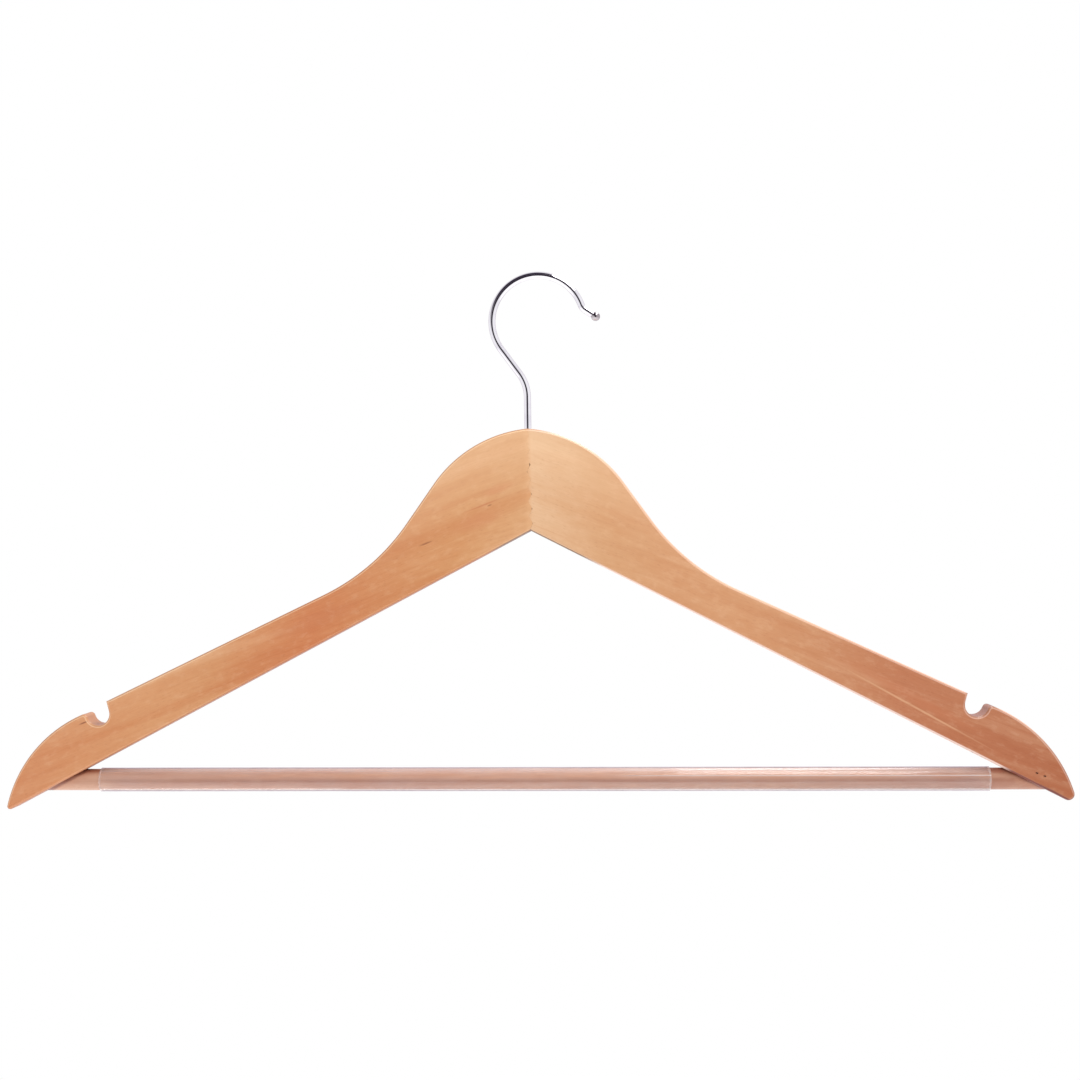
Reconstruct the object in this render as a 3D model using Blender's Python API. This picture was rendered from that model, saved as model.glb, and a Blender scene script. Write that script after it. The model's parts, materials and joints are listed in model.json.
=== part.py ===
"""Wooden suit hanger with a swivel hook and a trouser bar.

Metres, +Z up, +X to the right, front face towards -Y.
The world origin is the point inside the top of the hook arch where a rail touches it.
The outline is drawn in a seam frame (x from the centre seam, z up from the inner vertex
under the hump) and moved into the world by ARCH_OFFSET and SEAT_HEIGHT.
"""

import math

import bmesh
import bpy
from mathutils import Vector

# ---- wooden arms -------------------------------------------------------------------
ARM_THICKNESS = 0.0120
EDGE_ROUND = 0.0012
HUMP_RADIUS = 0.0540
HUMP_CENTRE_X = -0.0046
HUMP_CENTRE_Z = -0.0113
STEEP_ANGLE = math.radians(54.5)
STEEP_END_X = 0.0510
SHOULDER_RADIUS = 0.0900
ARM_TOP_ANGLE = math.radians(25.15)
ARM_BOTTOM_ANGLE = math.radians(27.40)
VERTEX_X = 0.0008
NOTCH_X = 0.1828
LEFT_NOTCH_Z = -0.0745
RIGHT_NOTCH_Z = -0.0740
NOTCH_RADIUS = 0.0048
NOTCH_CORNER_X = 0.1792
LIP_RADIUS = 0.0018
TIP_CURVE_RADIUS = 0.0557
TIP_CURVE_X = 0.1919
TIP_CURVE_Z = -0.0757
LEFT_TIP_ROUND = 0.0013
RIGHT_TIP_ROUND = 0.0025

# ---- glued finger joint on the centre seam -------------------------------------------
FINGER_PITCH = 0.0061
FINGER_DEPTH = 0.0016
SEAM_TOP_X = -0.0001
SEAM_BOTTOM_X = 0.0012
SEAM_GAP = 0.0002

# ---- trouser bar and its clear sleeve ---------------------------------------------
BAR_DIAMETER = 0.0090
BAR_LENGTH = 0.4300
BAR_Z = -0.1039
BAR_TILT = math.radians(0.32)
BAR_END_CHAMFER = 0.0005
SOCKET_CLEARANCE = 0.0003
SLEEVE_BORE = 0.0095
SLEEVE_DIAMETER = 0.0100
SLEEVE_LENGTH = 0.3716
SLEEVE_OFFSET = 0.0026
SLEEVE_EASE = 0.0001

# ---- hook ------------------------------------------------------------------------
WIRE_DIAMETER = 0.0029
ARCH_RADIUS = 0.0193
ARCH_OFFSET = 0.00485
ARCH_CENTRE_Z = 0.0876
NECK_ANGLE = math.radians(54.0)
NECK_BEND_RADIUS = 0.0170
ARCH_END_ANGLE = math.radians(20.0)
FLARE_ANGLE = math.radians(36.0)
FLARE_RADIUS = 0.0045
FLARE_LENGTH = 0.0035
BALL_DIAMETER = 0.0037
SPIGOT_DIAMETER = 0.0018
SPIGOT_LENGTH = 0.0018
SPIGOT_GAP = 0.00015

# ---- swivel fitting hidden in the hump -----------------------------------------------
FIT_GAP = 0.0003
RUNNING_GAP = 0.0001
BUSH_DIAMETER = 0.0060
BUSH_TOP_Z = 0.0395
BUSH_FLANGE_TOP_Z = 0.0325
BUSH_BOTTOM_Z = 0.0313
BUSH_FLANGE_DIAMETER = 0.0074
POCKET_DIAMETER = 0.0080
POCKET_BOTTOM_Z = 0.0255
COLLAR_DIAMETER = 0.0062
COLLAR_TOP_Z = 0.0310
COLLAR_BOTTOM_Z = 0.0292
WIRE_NECK_DIAMETER = 0.0020
WIRE_HEAD_TOP_Z = 0.0291
WIRE_BOTTOM_Z = 0.0272

# ---- staples holding the bar -----------------------------------------------------------
STAPLE_X = 0.2080
STAPLE_Z = -0.1026
STAPLE_ANGLE = math.radians(22.5)
STAPLE_SPAN = 0.0034
STAPLE_WIRE = 0.0010
STAPLE_WIDTH = 0.0005
STAPLE_RECESS = 0.0002
STAPLE_TIP_RECESS = 0.0003
STAPLE_BLIND_RECESS = 0.0010
STAPLE_CLEARANCE = 0.0001

SEAT_HEIGHT = ARCH_CENTRE_Z + ARCH_RADIUS - WIRE_DIAMETER / 2
AXIS_POINT = Vector((-ARCH_OFFSET, 0.0, HUMP_CENTRE_Z + HUMP_RADIUS - SEAT_HEIGHT))
ROUND_STEPS = 4
WIRE_SIDES = 20
BALL_SIDES = 20
BALL_STEPS = 12
FITTING_SIDES = 28
BAR_SIDES = 48
SMOOTH_ANGLE = math.radians(35.0)
WELD = 2e-6
TOOL_REACH = 0.002


def clear_scene():
    for old in list(bpy.data.objects):
        bpy.data.objects.remove(old, do_unlink=True)


def make_material(name, colour, metallic=0.0, roughness=0.5, alpha=1.0):
    material = bpy.data.materials.new(name)
    material.use_nodes = True
    shader = material.node_tree.nodes["Principled BSDF"]
    shader.inputs["Base Color"].default_value = (*colour, 1.0)
    shader.inputs["Metallic"].default_value = metallic
    shader.inputs["Roughness"].default_value = roughness
    shader.inputs["Alpha"].default_value = alpha
    return material


def world(x, y, z):
    """A point of the seam frame in world coordinates."""
    return Vector((x - ARCH_OFFSET, y, z - SEAT_HEIGHT))


def shade(mesh):
    """Smooth shading with the real corners kept sharp."""
    mesh.shade_smooth()
    mesh.set_sharp_from_angle(angle=SMOOTH_ANGLE)


def mesh_object(name, verts, faces, material=None):
    """A closed mesh from world points, its origin on the swivel axis."""
    mesh = bpy.data.meshes.new(name)
    mesh.from_pydata([tuple(Vector(v) - AXIS_POINT) for v in verts], [], faces)
    mesh.validate()
    shape = bmesh.new()
    shape.from_mesh(mesh)
    bmesh.ops.recalc_face_normals(shape, faces=shape.faces)
    shape.to_mesh(mesh)
    shape.free()
    shade(mesh)
    if material is not None:
        mesh.materials.append(material)
    obj = bpy.data.objects.new(name, mesh)
    obj.location = AXIS_POINT
    bpy.context.scene.collection.objects.link(obj)
    return obj


def combine(target, tool, operation):
    """Boolean the tool into the target, keep the result as the target's mesh."""
    bpy.context.view_layer.update()
    modifier = target.modifiers.new("cut", "BOOLEAN")
    modifier.operation = operation
    modifier.solver = "EXACT"
    modifier.object = tool
    bpy.context.view_layer.update()
    graph = bpy.context.evaluated_depsgraph_get()
    result = bpy.data.meshes.new_from_object(target.evaluated_get(graph))
    target.modifiers.clear()
    target.data = result


def tidy(obj, material):
    """Merge coincident points after the cuts and leave one material slot."""
    shape = bmesh.new()
    shape.from_mesh(obj.data)
    bmesh.ops.remove_doubles(shape, verts=shape.verts, dist=WELD)
    bmesh.ops.dissolve_degenerate(shape, edges=shape.edges, dist=WELD)
    bmesh.ops.recalc_face_normals(shape, faces=shape.faces)
    shape.to_mesh(obj.data)
    shape.free()
    shade(obj.data)
    obj.data.materials.clear()
    obj.data.materials.append(material)
    for face in obj.data.polygons:
        face.material_index = 0


def remove_tools(tools):
    for tool in tools:
        bpy.data.objects.remove(tool, do_unlink=True)


def arc(centre_x, centre_z, radius, start, end, steps):
    """Points of an arc, angles measured from +X towards +Z."""
    points = []
    for i in range(steps + 1):
        angle = start + (end - start) * i / steps
        points.append((centre_x + radius * math.cos(angle), centre_z + radius * math.sin(angle)))
    return points


# ---- outline of the wooden body ----------------------------------------------------


def hump_points():
    """Top of the hump, the steep flank and the hollow shoulder, from the seam outwards."""
    half_pi = math.pi / 2
    start = math.asin(-HUMP_CENTRE_X / HUMP_RADIUS)
    points = arc(HUMP_CENTRE_X, HUMP_CENTRE_Z, HUMP_RADIUS, half_pi - start, half_pi - STEEP_ANGLE, 18)
    last_x, last_z = points[-1]
    steep_z = last_z - math.tan(STEEP_ANGLE) * (STEEP_END_X - last_x)
    centre_x = STEEP_END_X + SHOULDER_RADIUS * math.sin(STEEP_ANGLE)
    centre_z = steep_z + SHOULDER_RADIUS * math.cos(STEEP_ANGLE)
    first = -half_pi - STEEP_ANGLE
    final = -half_pi - ARM_TOP_ANGLE
    points += arc(centre_x, centre_z, SHOULDER_RADIUS, first, final, 14)
    return points


def tip_curve_centre():
    """Centre of the big curve that runs from the notch lip to the end of the arm."""
    centre_x = TIP_CURVE_X - TIP_CURVE_RADIUS * math.sin(ARM_TOP_ANGLE)
    centre_z = TIP_CURVE_Z - TIP_CURVE_RADIUS * math.cos(ARM_TOP_ANGLE)
    return centre_x, centre_z


def lip_centre(notch_z):
    """Centre of the lip round, touching the notch circle outside and the tip curve inside."""
    curve_x, curve_z = tip_curve_centre()
    apart_x = NOTCH_X - curve_x
    apart_z = notch_z - curve_z
    apart = math.hypot(apart_x, apart_z)
    from_curve = TIP_CURVE_RADIUS - LIP_RADIUS
    from_notch = NOTCH_RADIUS + LIP_RADIUS
    along = (apart ** 2 + from_curve ** 2 - from_notch ** 2) / (2 * apart)
    across = math.sqrt(from_curve ** 2 - along ** 2)
    unit_x = apart_x / apart
    unit_z = apart_z / apart
    return curve_x + unit_x * along + unit_z * across, curve_z + unit_z * along - unit_x * across


def notch_points(arm_start, notch_z):
    """Strap notch: sharp inner corner, round seat and rounded outer lip."""
    slope = math.tan(ARM_TOP_ANGLE)
    corner = (NOTCH_CORNER_X, arm_start[1] - slope * (NOTCH_CORNER_X - arm_start[0]))
    away_x = corner[0] - NOTCH_X
    away_z = corner[1] - notch_z
    distance = math.hypot(away_x, away_z)
    tangent = math.atan2(away_z, away_x) + math.acos(NOTCH_RADIUS / distance)
    lip_x, lip_z = lip_centre(notch_z)
    curve_x, curve_z = tip_curve_centre()
    meet = math.atan2(lip_z - notch_z, lip_x - NOTCH_X)
    seat = arc(NOTCH_X, notch_z, NOTCH_RADIUS, tangent, meet + 2 * math.pi, 18)
    lip_end = math.atan2(lip_z - curve_z, lip_x - curve_x)
    lip = arc(lip_x, lip_z, LIP_RADIUS, meet + math.pi, lip_end, 7)
    return [corner] + seat + lip[1:]


def tip_points(lip_end, tip_round):
    """Outer curve down to the small round end of the arm, then the straight lower edge."""
    half_pi = math.pi / 2
    centre_x, centre_z = tip_curve_centre()
    inner_radius = TIP_CURVE_RADIUS - tip_round
    along_x = math.cos(ARM_BOTTOM_ANGLE)
    along_z = -math.sin(ARM_BOTTOM_ANGLE)
    base_x = -along_z * tip_round
    base_z = along_x * tip_round
    offset_x = base_x - centre_x
    offset_z = base_z - centre_z
    half_b = offset_x * along_x + offset_z * along_z
    root = math.sqrt(half_b ** 2 - (offset_x ** 2 + offset_z ** 2 - inner_radius ** 2))
    travel = root - half_b
    round_x = base_x + along_x * travel
    round_z = base_z + along_z * travel
    start = math.atan2(lip_end[1] - centre_z, lip_end[0] - centre_x)
    meet = math.atan2(round_z - centre_z, round_x - centre_x)
    curve = arc(centre_x, centre_z, TIP_CURVE_RADIUS, start, meet, 16)
    end_angle = -half_pi - ARM_BOTTOM_ANGLE
    tip = arc(round_x, round_z, tip_round, meet, end_angle, 8)
    return curve[1:] + tip[1:]


def half_outline(notch_z, tip_round):
    """Right half of the outline from the top of the seam round to the inner vertex."""
    points = hump_points()
    points += notch_points(points[-1], notch_z)
    points += tip_points(points[-1], tip_round)
    points.append((VERTEX_X, 0.0))
    return points


def full_outline():
    """The whole body outline, clockwise from the top of the seam."""
    right = half_outline(RIGHT_NOTCH_Z, RIGHT_TIP_ROUND)
    left = half_outline(LEFT_NOTCH_Z, LEFT_TIP_ROUND)
    return right + [(-x, z) for x, z in reversed(left[1:-1])]


def inset(points, distance):
    """Every point of a clockwise outline moved inwards by the same distance."""
    moved = []
    count = len(points)
    for i in range(count):
        before = Vector(points[i - 1])
        here = Vector(points[i])
        after = Vector(points[(i + 1) % count])
        first = (here - before).normalized()
        second = (after - here).normalized()
        normal_a = Vector((first.y, -first.x))
        normal_b = Vector((second.y, -second.x))
        middle = (normal_a + normal_b).normalized()
        shift = distance / max(middle.dot(normal_a), 0.25)
        moved.append(tuple(here + middle * shift))
    return moved


def rounded_plate(name, outline, thickness, radius):
    """A flat plate with both rims rounded over."""
    count = len(outline)
    rings = []
    for i in range(ROUND_STEPS + 1):
        angle = math.pi / 2 * i / ROUND_STEPS
        depth = thickness / 2 - radius * (1 - math.sin(angle))
        rings.append((radius * (1 - math.cos(angle)), depth))
    sections = [(pull, -depth) for pull, depth in reversed(rings)]
    sections += list(rings)
    verts = []
    for pull, y in sections:
        verts += [world(x, y, z) for x, z in inset(outline, pull)]
    faces = [tuple(range(count)), tuple(reversed(range(len(verts) - count, len(verts))))]
    for level in range(len(sections) - 1):
        low = level * count
        high = low + count
        for i in range(count):
            j = (i + 1) % count
            faces.append((low + i, high + i, high + j, low + j))
    return mesh_object(name, verts, faces)


def seam_line():
    """The zigzag of the finger joint, from below the vertex to above the hump."""
    low = -4 * FINGER_PITCH / 2
    top = HUMP_CENTRE_Z + HUMP_RADIUS
    points = []
    step = 0
    z = low
    while z < top + FINGER_PITCH:
        lean = SEAM_BOTTOM_X + (SEAM_TOP_X - SEAM_BOTTOM_X) * z / top
        side = 0.5 if step % 2 else -0.5
        points.append((lean + side * FINGER_DEPTH, z))
        step += 1
        z = low + step * FINGER_PITCH / 2
    return points


def seam_tool(name, side):
    """Everything on one side of the finger joint, less half of the glue gap."""
    line = [(x + side * SEAM_GAP / 2, z) for x, z in seam_line()]
    far = side * 0.260
    outline = [(far, -0.150)] + [(line[0][0], -0.150)] + line + [(far, line[-1][1])]
    return prism(name, outline, -0.02, 0.02)


def prism(name, outline, front, back):
    """A straight prism along Y over an outline in the seam frame."""
    count = len(outline)
    verts = [world(x, front, z) for x, z in outline]
    verts += [world(x, back, z) for x, z in outline]
    faces = [tuple(range(count)), tuple(reversed(range(count, 2 * count)))]
    for i in range(count):
        j = (i + 1) % count
        faces.append((i, count + i, count + j, j))
    return mesh_object(name, verts, faces)


def ring_faces(rings, sides):
    """Faces between neighbouring rings; a ring of one point closes an end."""
    faces = []
    for low, high in zip(rings, rings[1:]):
        for i in range(sides):
            j = (i + 1) % sides
            if len(low) == 1:
                faces.append((low[0], high[i], high[j]))
            elif len(high) == 1:
                faces.append((low[i], high[0], low[j]))
            else:
                faces.append((low[i], high[i], high[j], low[j]))
    return faces


def turned(name, profile, sides, place, material=None, hollow=False):
    """A turned solid from (radius, position) points; place(position, across, up) gives a point."""
    verts = []
    rings = []
    for radius, position in profile:
        count = 1 if radius == 0.0 else sides
        rings.append(list(range(len(verts), len(verts) + count)))
        for i in range(count):
            angle = 2 * math.pi * i / sides
            verts.append(place(position, radius * math.cos(angle), radius * math.sin(angle)))
    if hollow:
        rings.append(rings[0])
    return mesh_object(name, verts, ring_faces(rings, sides), material)


def along_bar(position, across, up):
    """Turned about the bar's own axis, which drops a little towards the right."""
    x = position * math.cos(BAR_TILT) + up * math.sin(BAR_TILT)
    z = up * math.cos(BAR_TILT) - position * math.sin(BAR_TILT)
    return world(x, across, BAR_Z + z)


def along_hook(position, across, up):
    """Turned about the swivel axis."""
    return world(across, up, position)


# ---- wooden arms --------------------------------------------------------------------


def socket_tool(side):
    """Blind hole for the end of the trouser bar."""
    radius = BAR_DIAMETER / 2 + SOCKET_CLEARANCE
    inner = side * 0.150
    outer = side * (BAR_LENGTH / 2 + SOCKET_CLEARANCE)
    profile = [(0.0, inner), (radius, inner), (radius, outer), (0.0, outer)]
    return turned("socket_tool", profile, BAR_SIDES, along_bar)


def hook_hole_tool():
    """Bore for the wire, seat for the bush and pocket for the collar."""
    bore = WIRE_DIAMETER / 2 + FIT_GAP
    seat = BUSH_DIAMETER / 2 + FIT_GAP
    pocket = POCKET_DIAMETER / 2
    profile = [(0.0, 0.060), (bore, 0.060), (bore, BUSH_TOP_Z + FIT_GAP)]
    profile += [(seat, BUSH_TOP_Z + FIT_GAP), (seat, BUSH_FLANGE_TOP_Z + FIT_GAP)]
    profile += [(pocket, BUSH_FLANGE_TOP_Z + FIT_GAP), (pocket, POCKET_BOTTOM_Z)]
    profile += [(0.0, POCKET_BOTTOM_Z)]
    return turned("hook_hole_tool", profile, FITTING_SIDES, along_hook)


def staple_shape(name, side, grow, through, material=None):
    """A U of flat wire along Y, its crown at the back; grown and lengthened as a tool.

    The right staple's tips reach the front face, the left staple's stop inside the wood.
    """
    half = STAPLE_SPAN / 2
    outer = half + STAPLE_WIRE / 2 + grow
    inner = half - STAPLE_WIRE / 2 - grow
    back = ARM_THICKNESS / 2 - STAPLE_RECESS + through
    crown = ARM_THICKNESS / 2 - STAPLE_RECESS - STAPLE_WIRE - grow
    if side > 0:
        front = -ARM_THICKNESS / 2 + STAPLE_TIP_RECESS - through
    else:
        front = -ARM_THICKNESS / 2 + STAPLE_BLIND_RECESS - grow
    shape = [(-outer, front), (-outer, back), (outer, back), (outer, front)]
    shape += [(inner, front), (inner, crown), (-inner, crown), (-inner, front)]
    thick = STAPLE_WIDTH / 2 + grow
    lean_x = side * math.cos(STAPLE_ANGLE)
    lean_z = -math.sin(STAPLE_ANGLE)
    verts = []
    for level in (-thick, thick):
        for along, y in shape:
            x = side * STAPLE_X + lean_x * along - lean_z * level * side
            z = STAPLE_Z + lean_z * along + abs(lean_x) * level
            verts.append(world(x, y, z))
    count = len(shape)
    faces = [tuple(range(count)), tuple(reversed(range(count, 2 * count)))]
    for i in range(count):
        j = (i + 1) % count
        faces.append((i, count + i, count + j, j))
    return mesh_object(name, verts, faces, material)


def build_arm(name, side, material):
    """One arm: its side of the body with finger joint, hook pocket, notch and bar socket."""
    arm = rounded_plate(name, full_outline(), ARM_THICKNESS, EDGE_ROUND)
    half = seam_tool("seam_tool", side)
    socket = socket_tool(side)
    hole = hook_hole_tool()
    staple = staple_shape("staple_tool", side, STAPLE_CLEARANCE, TOOL_REACH)
    combine(arm, half, "INTERSECT")
    combine(arm, socket, "DIFFERENCE")
    combine(arm, hole, "DIFFERENCE")
    combine(arm, staple, "DIFFERENCE")
    remove_tools([half, socket, hole, staple])
    tidy(arm, material)
    return arm


# ---- bar, sleeve and staples ----------------------------------------------------------


def build_bar(material):
    """Round wooden trouser bar with chamfered ends and the staple holes."""
    radius = BAR_DIAMETER / 2
    end = BAR_LENGTH / 2
    chamfer = BAR_END_CHAMFER
    profile = [(0.0, -end), (radius - chamfer, -end), (radius, -end + chamfer)]
    profile += [(radius, end - chamfer), (radius - chamfer, end), (0.0, end)]
    bar = turned("trouser_bar", profile, BAR_SIDES, along_bar)
    tools = [staple_shape("staple_tool", side, STAPLE_CLEARANCE, TOOL_REACH) for side in (-1, 1)]
    for tool in tools:
        combine(bar, tool, "DIFFERENCE")
    remove_tools(tools)
    tidy(bar, material)
    return bar


def build_sleeve(material):
    """Clear non-slip tube over the bar, its outer corners eased."""
    inner = SLEEVE_BORE / 2
    outer = SLEEVE_DIAMETER / 2
    left = SLEEVE_OFFSET - SLEEVE_LENGTH / 2
    right = SLEEVE_OFFSET + SLEEVE_LENGTH / 2
    profile = [(inner, left), (outer - SLEEVE_EASE, left), (outer, left + SLEEVE_EASE)]
    profile += [(outer, right - SLEEVE_EASE), (outer - SLEEVE_EASE, right), (inner, right)]
    return turned("bar_sleeve", profile, BAR_SIDES, along_bar, material, hollow=True)


# ---- hook ---------------------------------------------------------------------------


def hook_path():
    """Centre-line of the exposed wire with its directions, from the wood to the ball."""
    half_pi = math.pi / 2
    turn = half_pi - NECK_ANGLE
    slope_x = -math.cos(NECK_ANGLE)
    slope_z = math.sin(NECK_ANGLE)
    touch_x = ARCH_OFFSET - ARCH_RADIUS * slope_z
    touch_z = ARCH_CENTRE_Z + ARCH_RADIUS * slope_x
    corner_z = touch_z + slope_z * touch_x / -slope_x
    tangent = NECK_BEND_RADIUS * math.tan(turn / 2)
    points = arc(-NECK_BEND_RADIUS, corner_z - tangent, NECK_BEND_RADIUS, 0.0, turn, 7)
    points += arc(ARCH_OFFSET, ARCH_CENTRE_Z, ARCH_RADIUS, math.pi + turn, ARCH_END_ANGLE, 34)
    end_x, end_z = points[-1]
    flare_x = end_x + FLARE_RADIUS * math.cos(ARCH_END_ANGLE)
    flare_z = end_z + FLARE_RADIUS * math.sin(ARCH_END_ANGLE)
    start = math.pi + ARCH_END_ANGLE
    points += arc(flare_x, flare_z, FLARE_RADIUS, start, start + FLARE_ANGLE, 7)[1:]
    direction = start + FLARE_ANGLE + half_pi
    last_x, last_z = points[-1]
    final_x = last_x + FLARE_LENGTH * math.cos(direction)
    final_z = last_z + FLARE_LENGTH * math.sin(direction)
    points.append((final_x, final_z))
    return points


def path_frames(points):
    """Unit direction at every point of a path in the XZ plane."""
    frames = []
    for i in range(len(points)):
        before = Vector(points[max(i - 1, 0)])
        after = Vector(points[min(i + 1, len(points) - 1)])
        frames.append((after - before).normalized())
    return frames


def build_hook_wire(material):
    """Bent wire with a riveted lower end and a spigot for the ball."""
    points = hook_path()
    frames = path_frames(points)
    full = WIRE_DIAMETER / 2
    neck = WIRE_NECK_DIAMETER / 2
    spigot = SPIGOT_DIAMETER / 2
    upright = Vector((0.0, 1.0))
    shoulder = COLLAR_TOP_Z + RUNNING_GAP
    lower = [(WIRE_BOTTOM_Z, full), (WIRE_HEAD_TOP_Z, full), (WIRE_HEAD_TOP_Z, neck)]
    lower += [(shoulder, neck), (shoulder, full)]
    stations = [(0.0, z, radius, upright) for z, radius in lower]
    stations += [(x, z, full, way) for (x, z), way in zip(points, frames)]
    end_x, end_z, _, way = stations[-1]
    stations.append((end_x, end_z, spigot, way))
    stations.append((end_x + way.x * SPIGOT_LENGTH, end_z + way.y * SPIGOT_LENGTH, spigot, way))
    verts = []
    rings = []
    for x, z, radius, way in stations:
        rings.append(list(range(len(verts), len(verts) + WIRE_SIDES)))
        for i in range(WIRE_SIDES):
            angle = 2 * math.pi * i / WIRE_SIDES
            side = radius * math.cos(angle)
            verts.append(world(x + way.y * side, radius * math.sin(angle), z - way.x * side))
    faces = [tuple(rings[0]), tuple(rings[-1])] + ring_faces(rings, WIRE_SIDES)
    return mesh_object("hook_wire", verts, faces, material)


def build_ball(material):
    """Ball on the end of the wire, with a blind bore for the spigot."""
    points = hook_path()
    way = path_frames(points)[-1]
    radius = BALL_DIAMETER / 2
    bore = SPIGOT_DIAMETER / 2 + SPIGOT_GAP
    mouth = math.asin(bore / radius)
    back = radius * math.cos(mouth)
    centre = Vector(points[-1]) + way * (back + SPIGOT_GAP)
    bottom = SPIGOT_LENGTH + SPIGOT_GAP - back
    profile = [(0.0, bottom), (bore, bottom)]
    for i in range(BALL_STEPS):
        angle = (math.pi - mouth) * (1 - i / BALL_STEPS)
        profile.append((radius * math.sin(angle), radius * math.cos(angle)))
    profile.append((0.0, radius))

    def along_wire_end(position, across, up):
        x = centre.x + way.x * position + way.y * across
        z = centre.y + way.y * position - way.x * across
        return world(x, up, z)

    return turned("hook_ball_tip", profile, BALL_SIDES, along_wire_end, material)


def build_bush(material):
    """Flanged steel bush pressed into the hump; the wire turns in it."""
    bore = WIRE_DIAMETER / 2 + RUNNING_GAP
    body = BUSH_DIAMETER / 2
    flange = BUSH_FLANGE_DIAMETER / 2
    profile = [(bore, BUSH_TOP_Z), (body, BUSH_TOP_Z), (body, BUSH_FLANGE_TOP_Z)]
    profile += [(flange, BUSH_FLANGE_TOP_Z), (flange, BUSH_BOTTOM_Z), (bore, BUSH_BOTTOM_Z)]
    return turned("hook_bush", profile, FITTING_SIDES, along_hook, material, hollow=True)


def build_collar(material):
    """Retaining collar riveted on the lower end of the wire."""
    bore = WIRE_NECK_DIAMETER / 2 + RUNNING_GAP
    rim = COLLAR_DIAMETER / 2
    profile = [(bore, COLLAR_TOP_Z), (rim, COLLAR_TOP_Z)]
    profile += [(rim, COLLAR_BOTTOM_Z), (bore, COLLAR_BOTTOM_Z)]
    return turned("hook_collar", profile, FITTING_SIDES, along_hook, material, hollow=True)


def main():
    clear_scene()
    left_wood = make_material("left_arm_wood", (0.66, 0.40, 0.21), roughness=0.42)
    right_wood = make_material("right_arm_wood", (0.70, 0.44, 0.25), roughness=0.42)
    bar_wood = make_material("bar_wood", (0.62, 0.38, 0.27), roughness=0.50)
    clear_vinyl = make_material("clear_vinyl", (0.86, 0.78, 0.76), roughness=0.15, alpha=0.35)
    chrome = make_material("hook_chrome", (0.80, 0.80, 0.83), metallic=1.0, roughness=0.10)
    ball_chrome = make_material("ball_chrome", (0.82, 0.82, 0.84), metallic=1.0, roughness=0.12)
    bush_steel = make_material("bush_steel", (0.56, 0.56, 0.55), metallic=1.0, roughness=0.40)
    collar_steel = make_material("collar_steel", (0.50, 0.50, 0.50), metallic=1.0, roughness=0.45)
    left_steel = make_material("left_staple_steel", (0.45, 0.44, 0.43), metallic=1.0, roughness=0.40)
    right_steel = make_material("right_staple_steel", (0.45, 0.44, 0.43), metallic=1.0, roughness=0.40)
    build_arm("left_arm", -1, left_wood)
    build_arm("right_arm", 1, right_wood)
    build_bar(bar_wood)
    build_sleeve(clear_vinyl)
    staple_shape("bar_staple_left", -1, 0.0, 0.0, left_steel)
    staple_shape("bar_staple_right", 1, 0.0, 0.0, right_steel)
    build_hook_wire(chrome)
    build_ball(ball_chrome)
    build_bush(bush_steel)
    build_collar(collar_steel)


main()
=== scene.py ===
"""Looks of a wooden suit hanger: lacquered beech arms, sleeved trouser bar, chrome hook.

Metres, +Z up, front face towards -Y. Outlines are drawn in the seam frame, x from the
centre seam and z up from the inner vertex under the hump; the frame's swivel axis places it.
"""

import json
import math
import random
from typing import NamedTuple

import bmesh
import bpy
from mathutils import Matrix, Vector

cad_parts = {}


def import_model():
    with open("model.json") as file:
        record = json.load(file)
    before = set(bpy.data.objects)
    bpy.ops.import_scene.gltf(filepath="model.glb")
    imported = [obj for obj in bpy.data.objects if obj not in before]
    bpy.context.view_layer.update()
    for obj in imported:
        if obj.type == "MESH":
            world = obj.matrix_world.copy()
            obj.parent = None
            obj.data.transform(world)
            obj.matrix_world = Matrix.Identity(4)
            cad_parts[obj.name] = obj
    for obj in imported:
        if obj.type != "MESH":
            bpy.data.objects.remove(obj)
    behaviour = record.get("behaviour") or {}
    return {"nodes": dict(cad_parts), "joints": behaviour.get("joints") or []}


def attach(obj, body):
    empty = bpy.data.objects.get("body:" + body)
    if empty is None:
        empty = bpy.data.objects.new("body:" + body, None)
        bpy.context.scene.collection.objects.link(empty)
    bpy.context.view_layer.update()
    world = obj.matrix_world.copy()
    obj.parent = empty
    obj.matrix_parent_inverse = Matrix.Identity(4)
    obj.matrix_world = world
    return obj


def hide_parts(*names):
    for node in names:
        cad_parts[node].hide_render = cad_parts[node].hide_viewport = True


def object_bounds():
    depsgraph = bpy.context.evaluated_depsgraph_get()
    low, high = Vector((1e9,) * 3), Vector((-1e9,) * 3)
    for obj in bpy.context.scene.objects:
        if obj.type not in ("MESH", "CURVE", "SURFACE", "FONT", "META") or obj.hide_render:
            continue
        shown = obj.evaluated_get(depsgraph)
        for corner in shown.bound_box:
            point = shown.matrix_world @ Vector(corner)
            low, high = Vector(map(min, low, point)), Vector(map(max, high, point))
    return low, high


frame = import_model()
CAD_LOW, CAD_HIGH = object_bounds()

# ---- wooden arms ----
ARM_THICKNESS = 0.0120
EDGE_ROUND = 0.0012
HUMP_RADIUS = 0.0540
HUMP_CENTRE_X = -0.0046
HUMP_CENTRE_Z = -0.0113
STEEP_ANGLE = math.radians(54.5)
STEEP_END_X = 0.0510
SHOULDER_RADIUS = 0.0900
ARM_TOP_ANGLE = math.radians(25.15)
ARM_BOTTOM_ANGLE = math.radians(27.40)
VERTEX_X = 0.0008
ARM_REACH = 0.2180
ARM_DEPTH = 0.0260
NOTCH_X = 0.1828
LEFT_NOTCH_Z = -0.0745
RIGHT_NOTCH_Z = -0.0740
NOTCH_RADIUS = 0.0048
NOTCH_CORNER_X = 0.1792
LIP_RADIUS = 0.0018
TIP_CURVE_RADIUS = 0.0557
TIP_CURVE_X = 0.1919
TIP_CURVE_Z = -0.0757
LEFT_TIP_ROUND = 0.0013
RIGHT_TIP_ROUND = 0.0025

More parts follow.
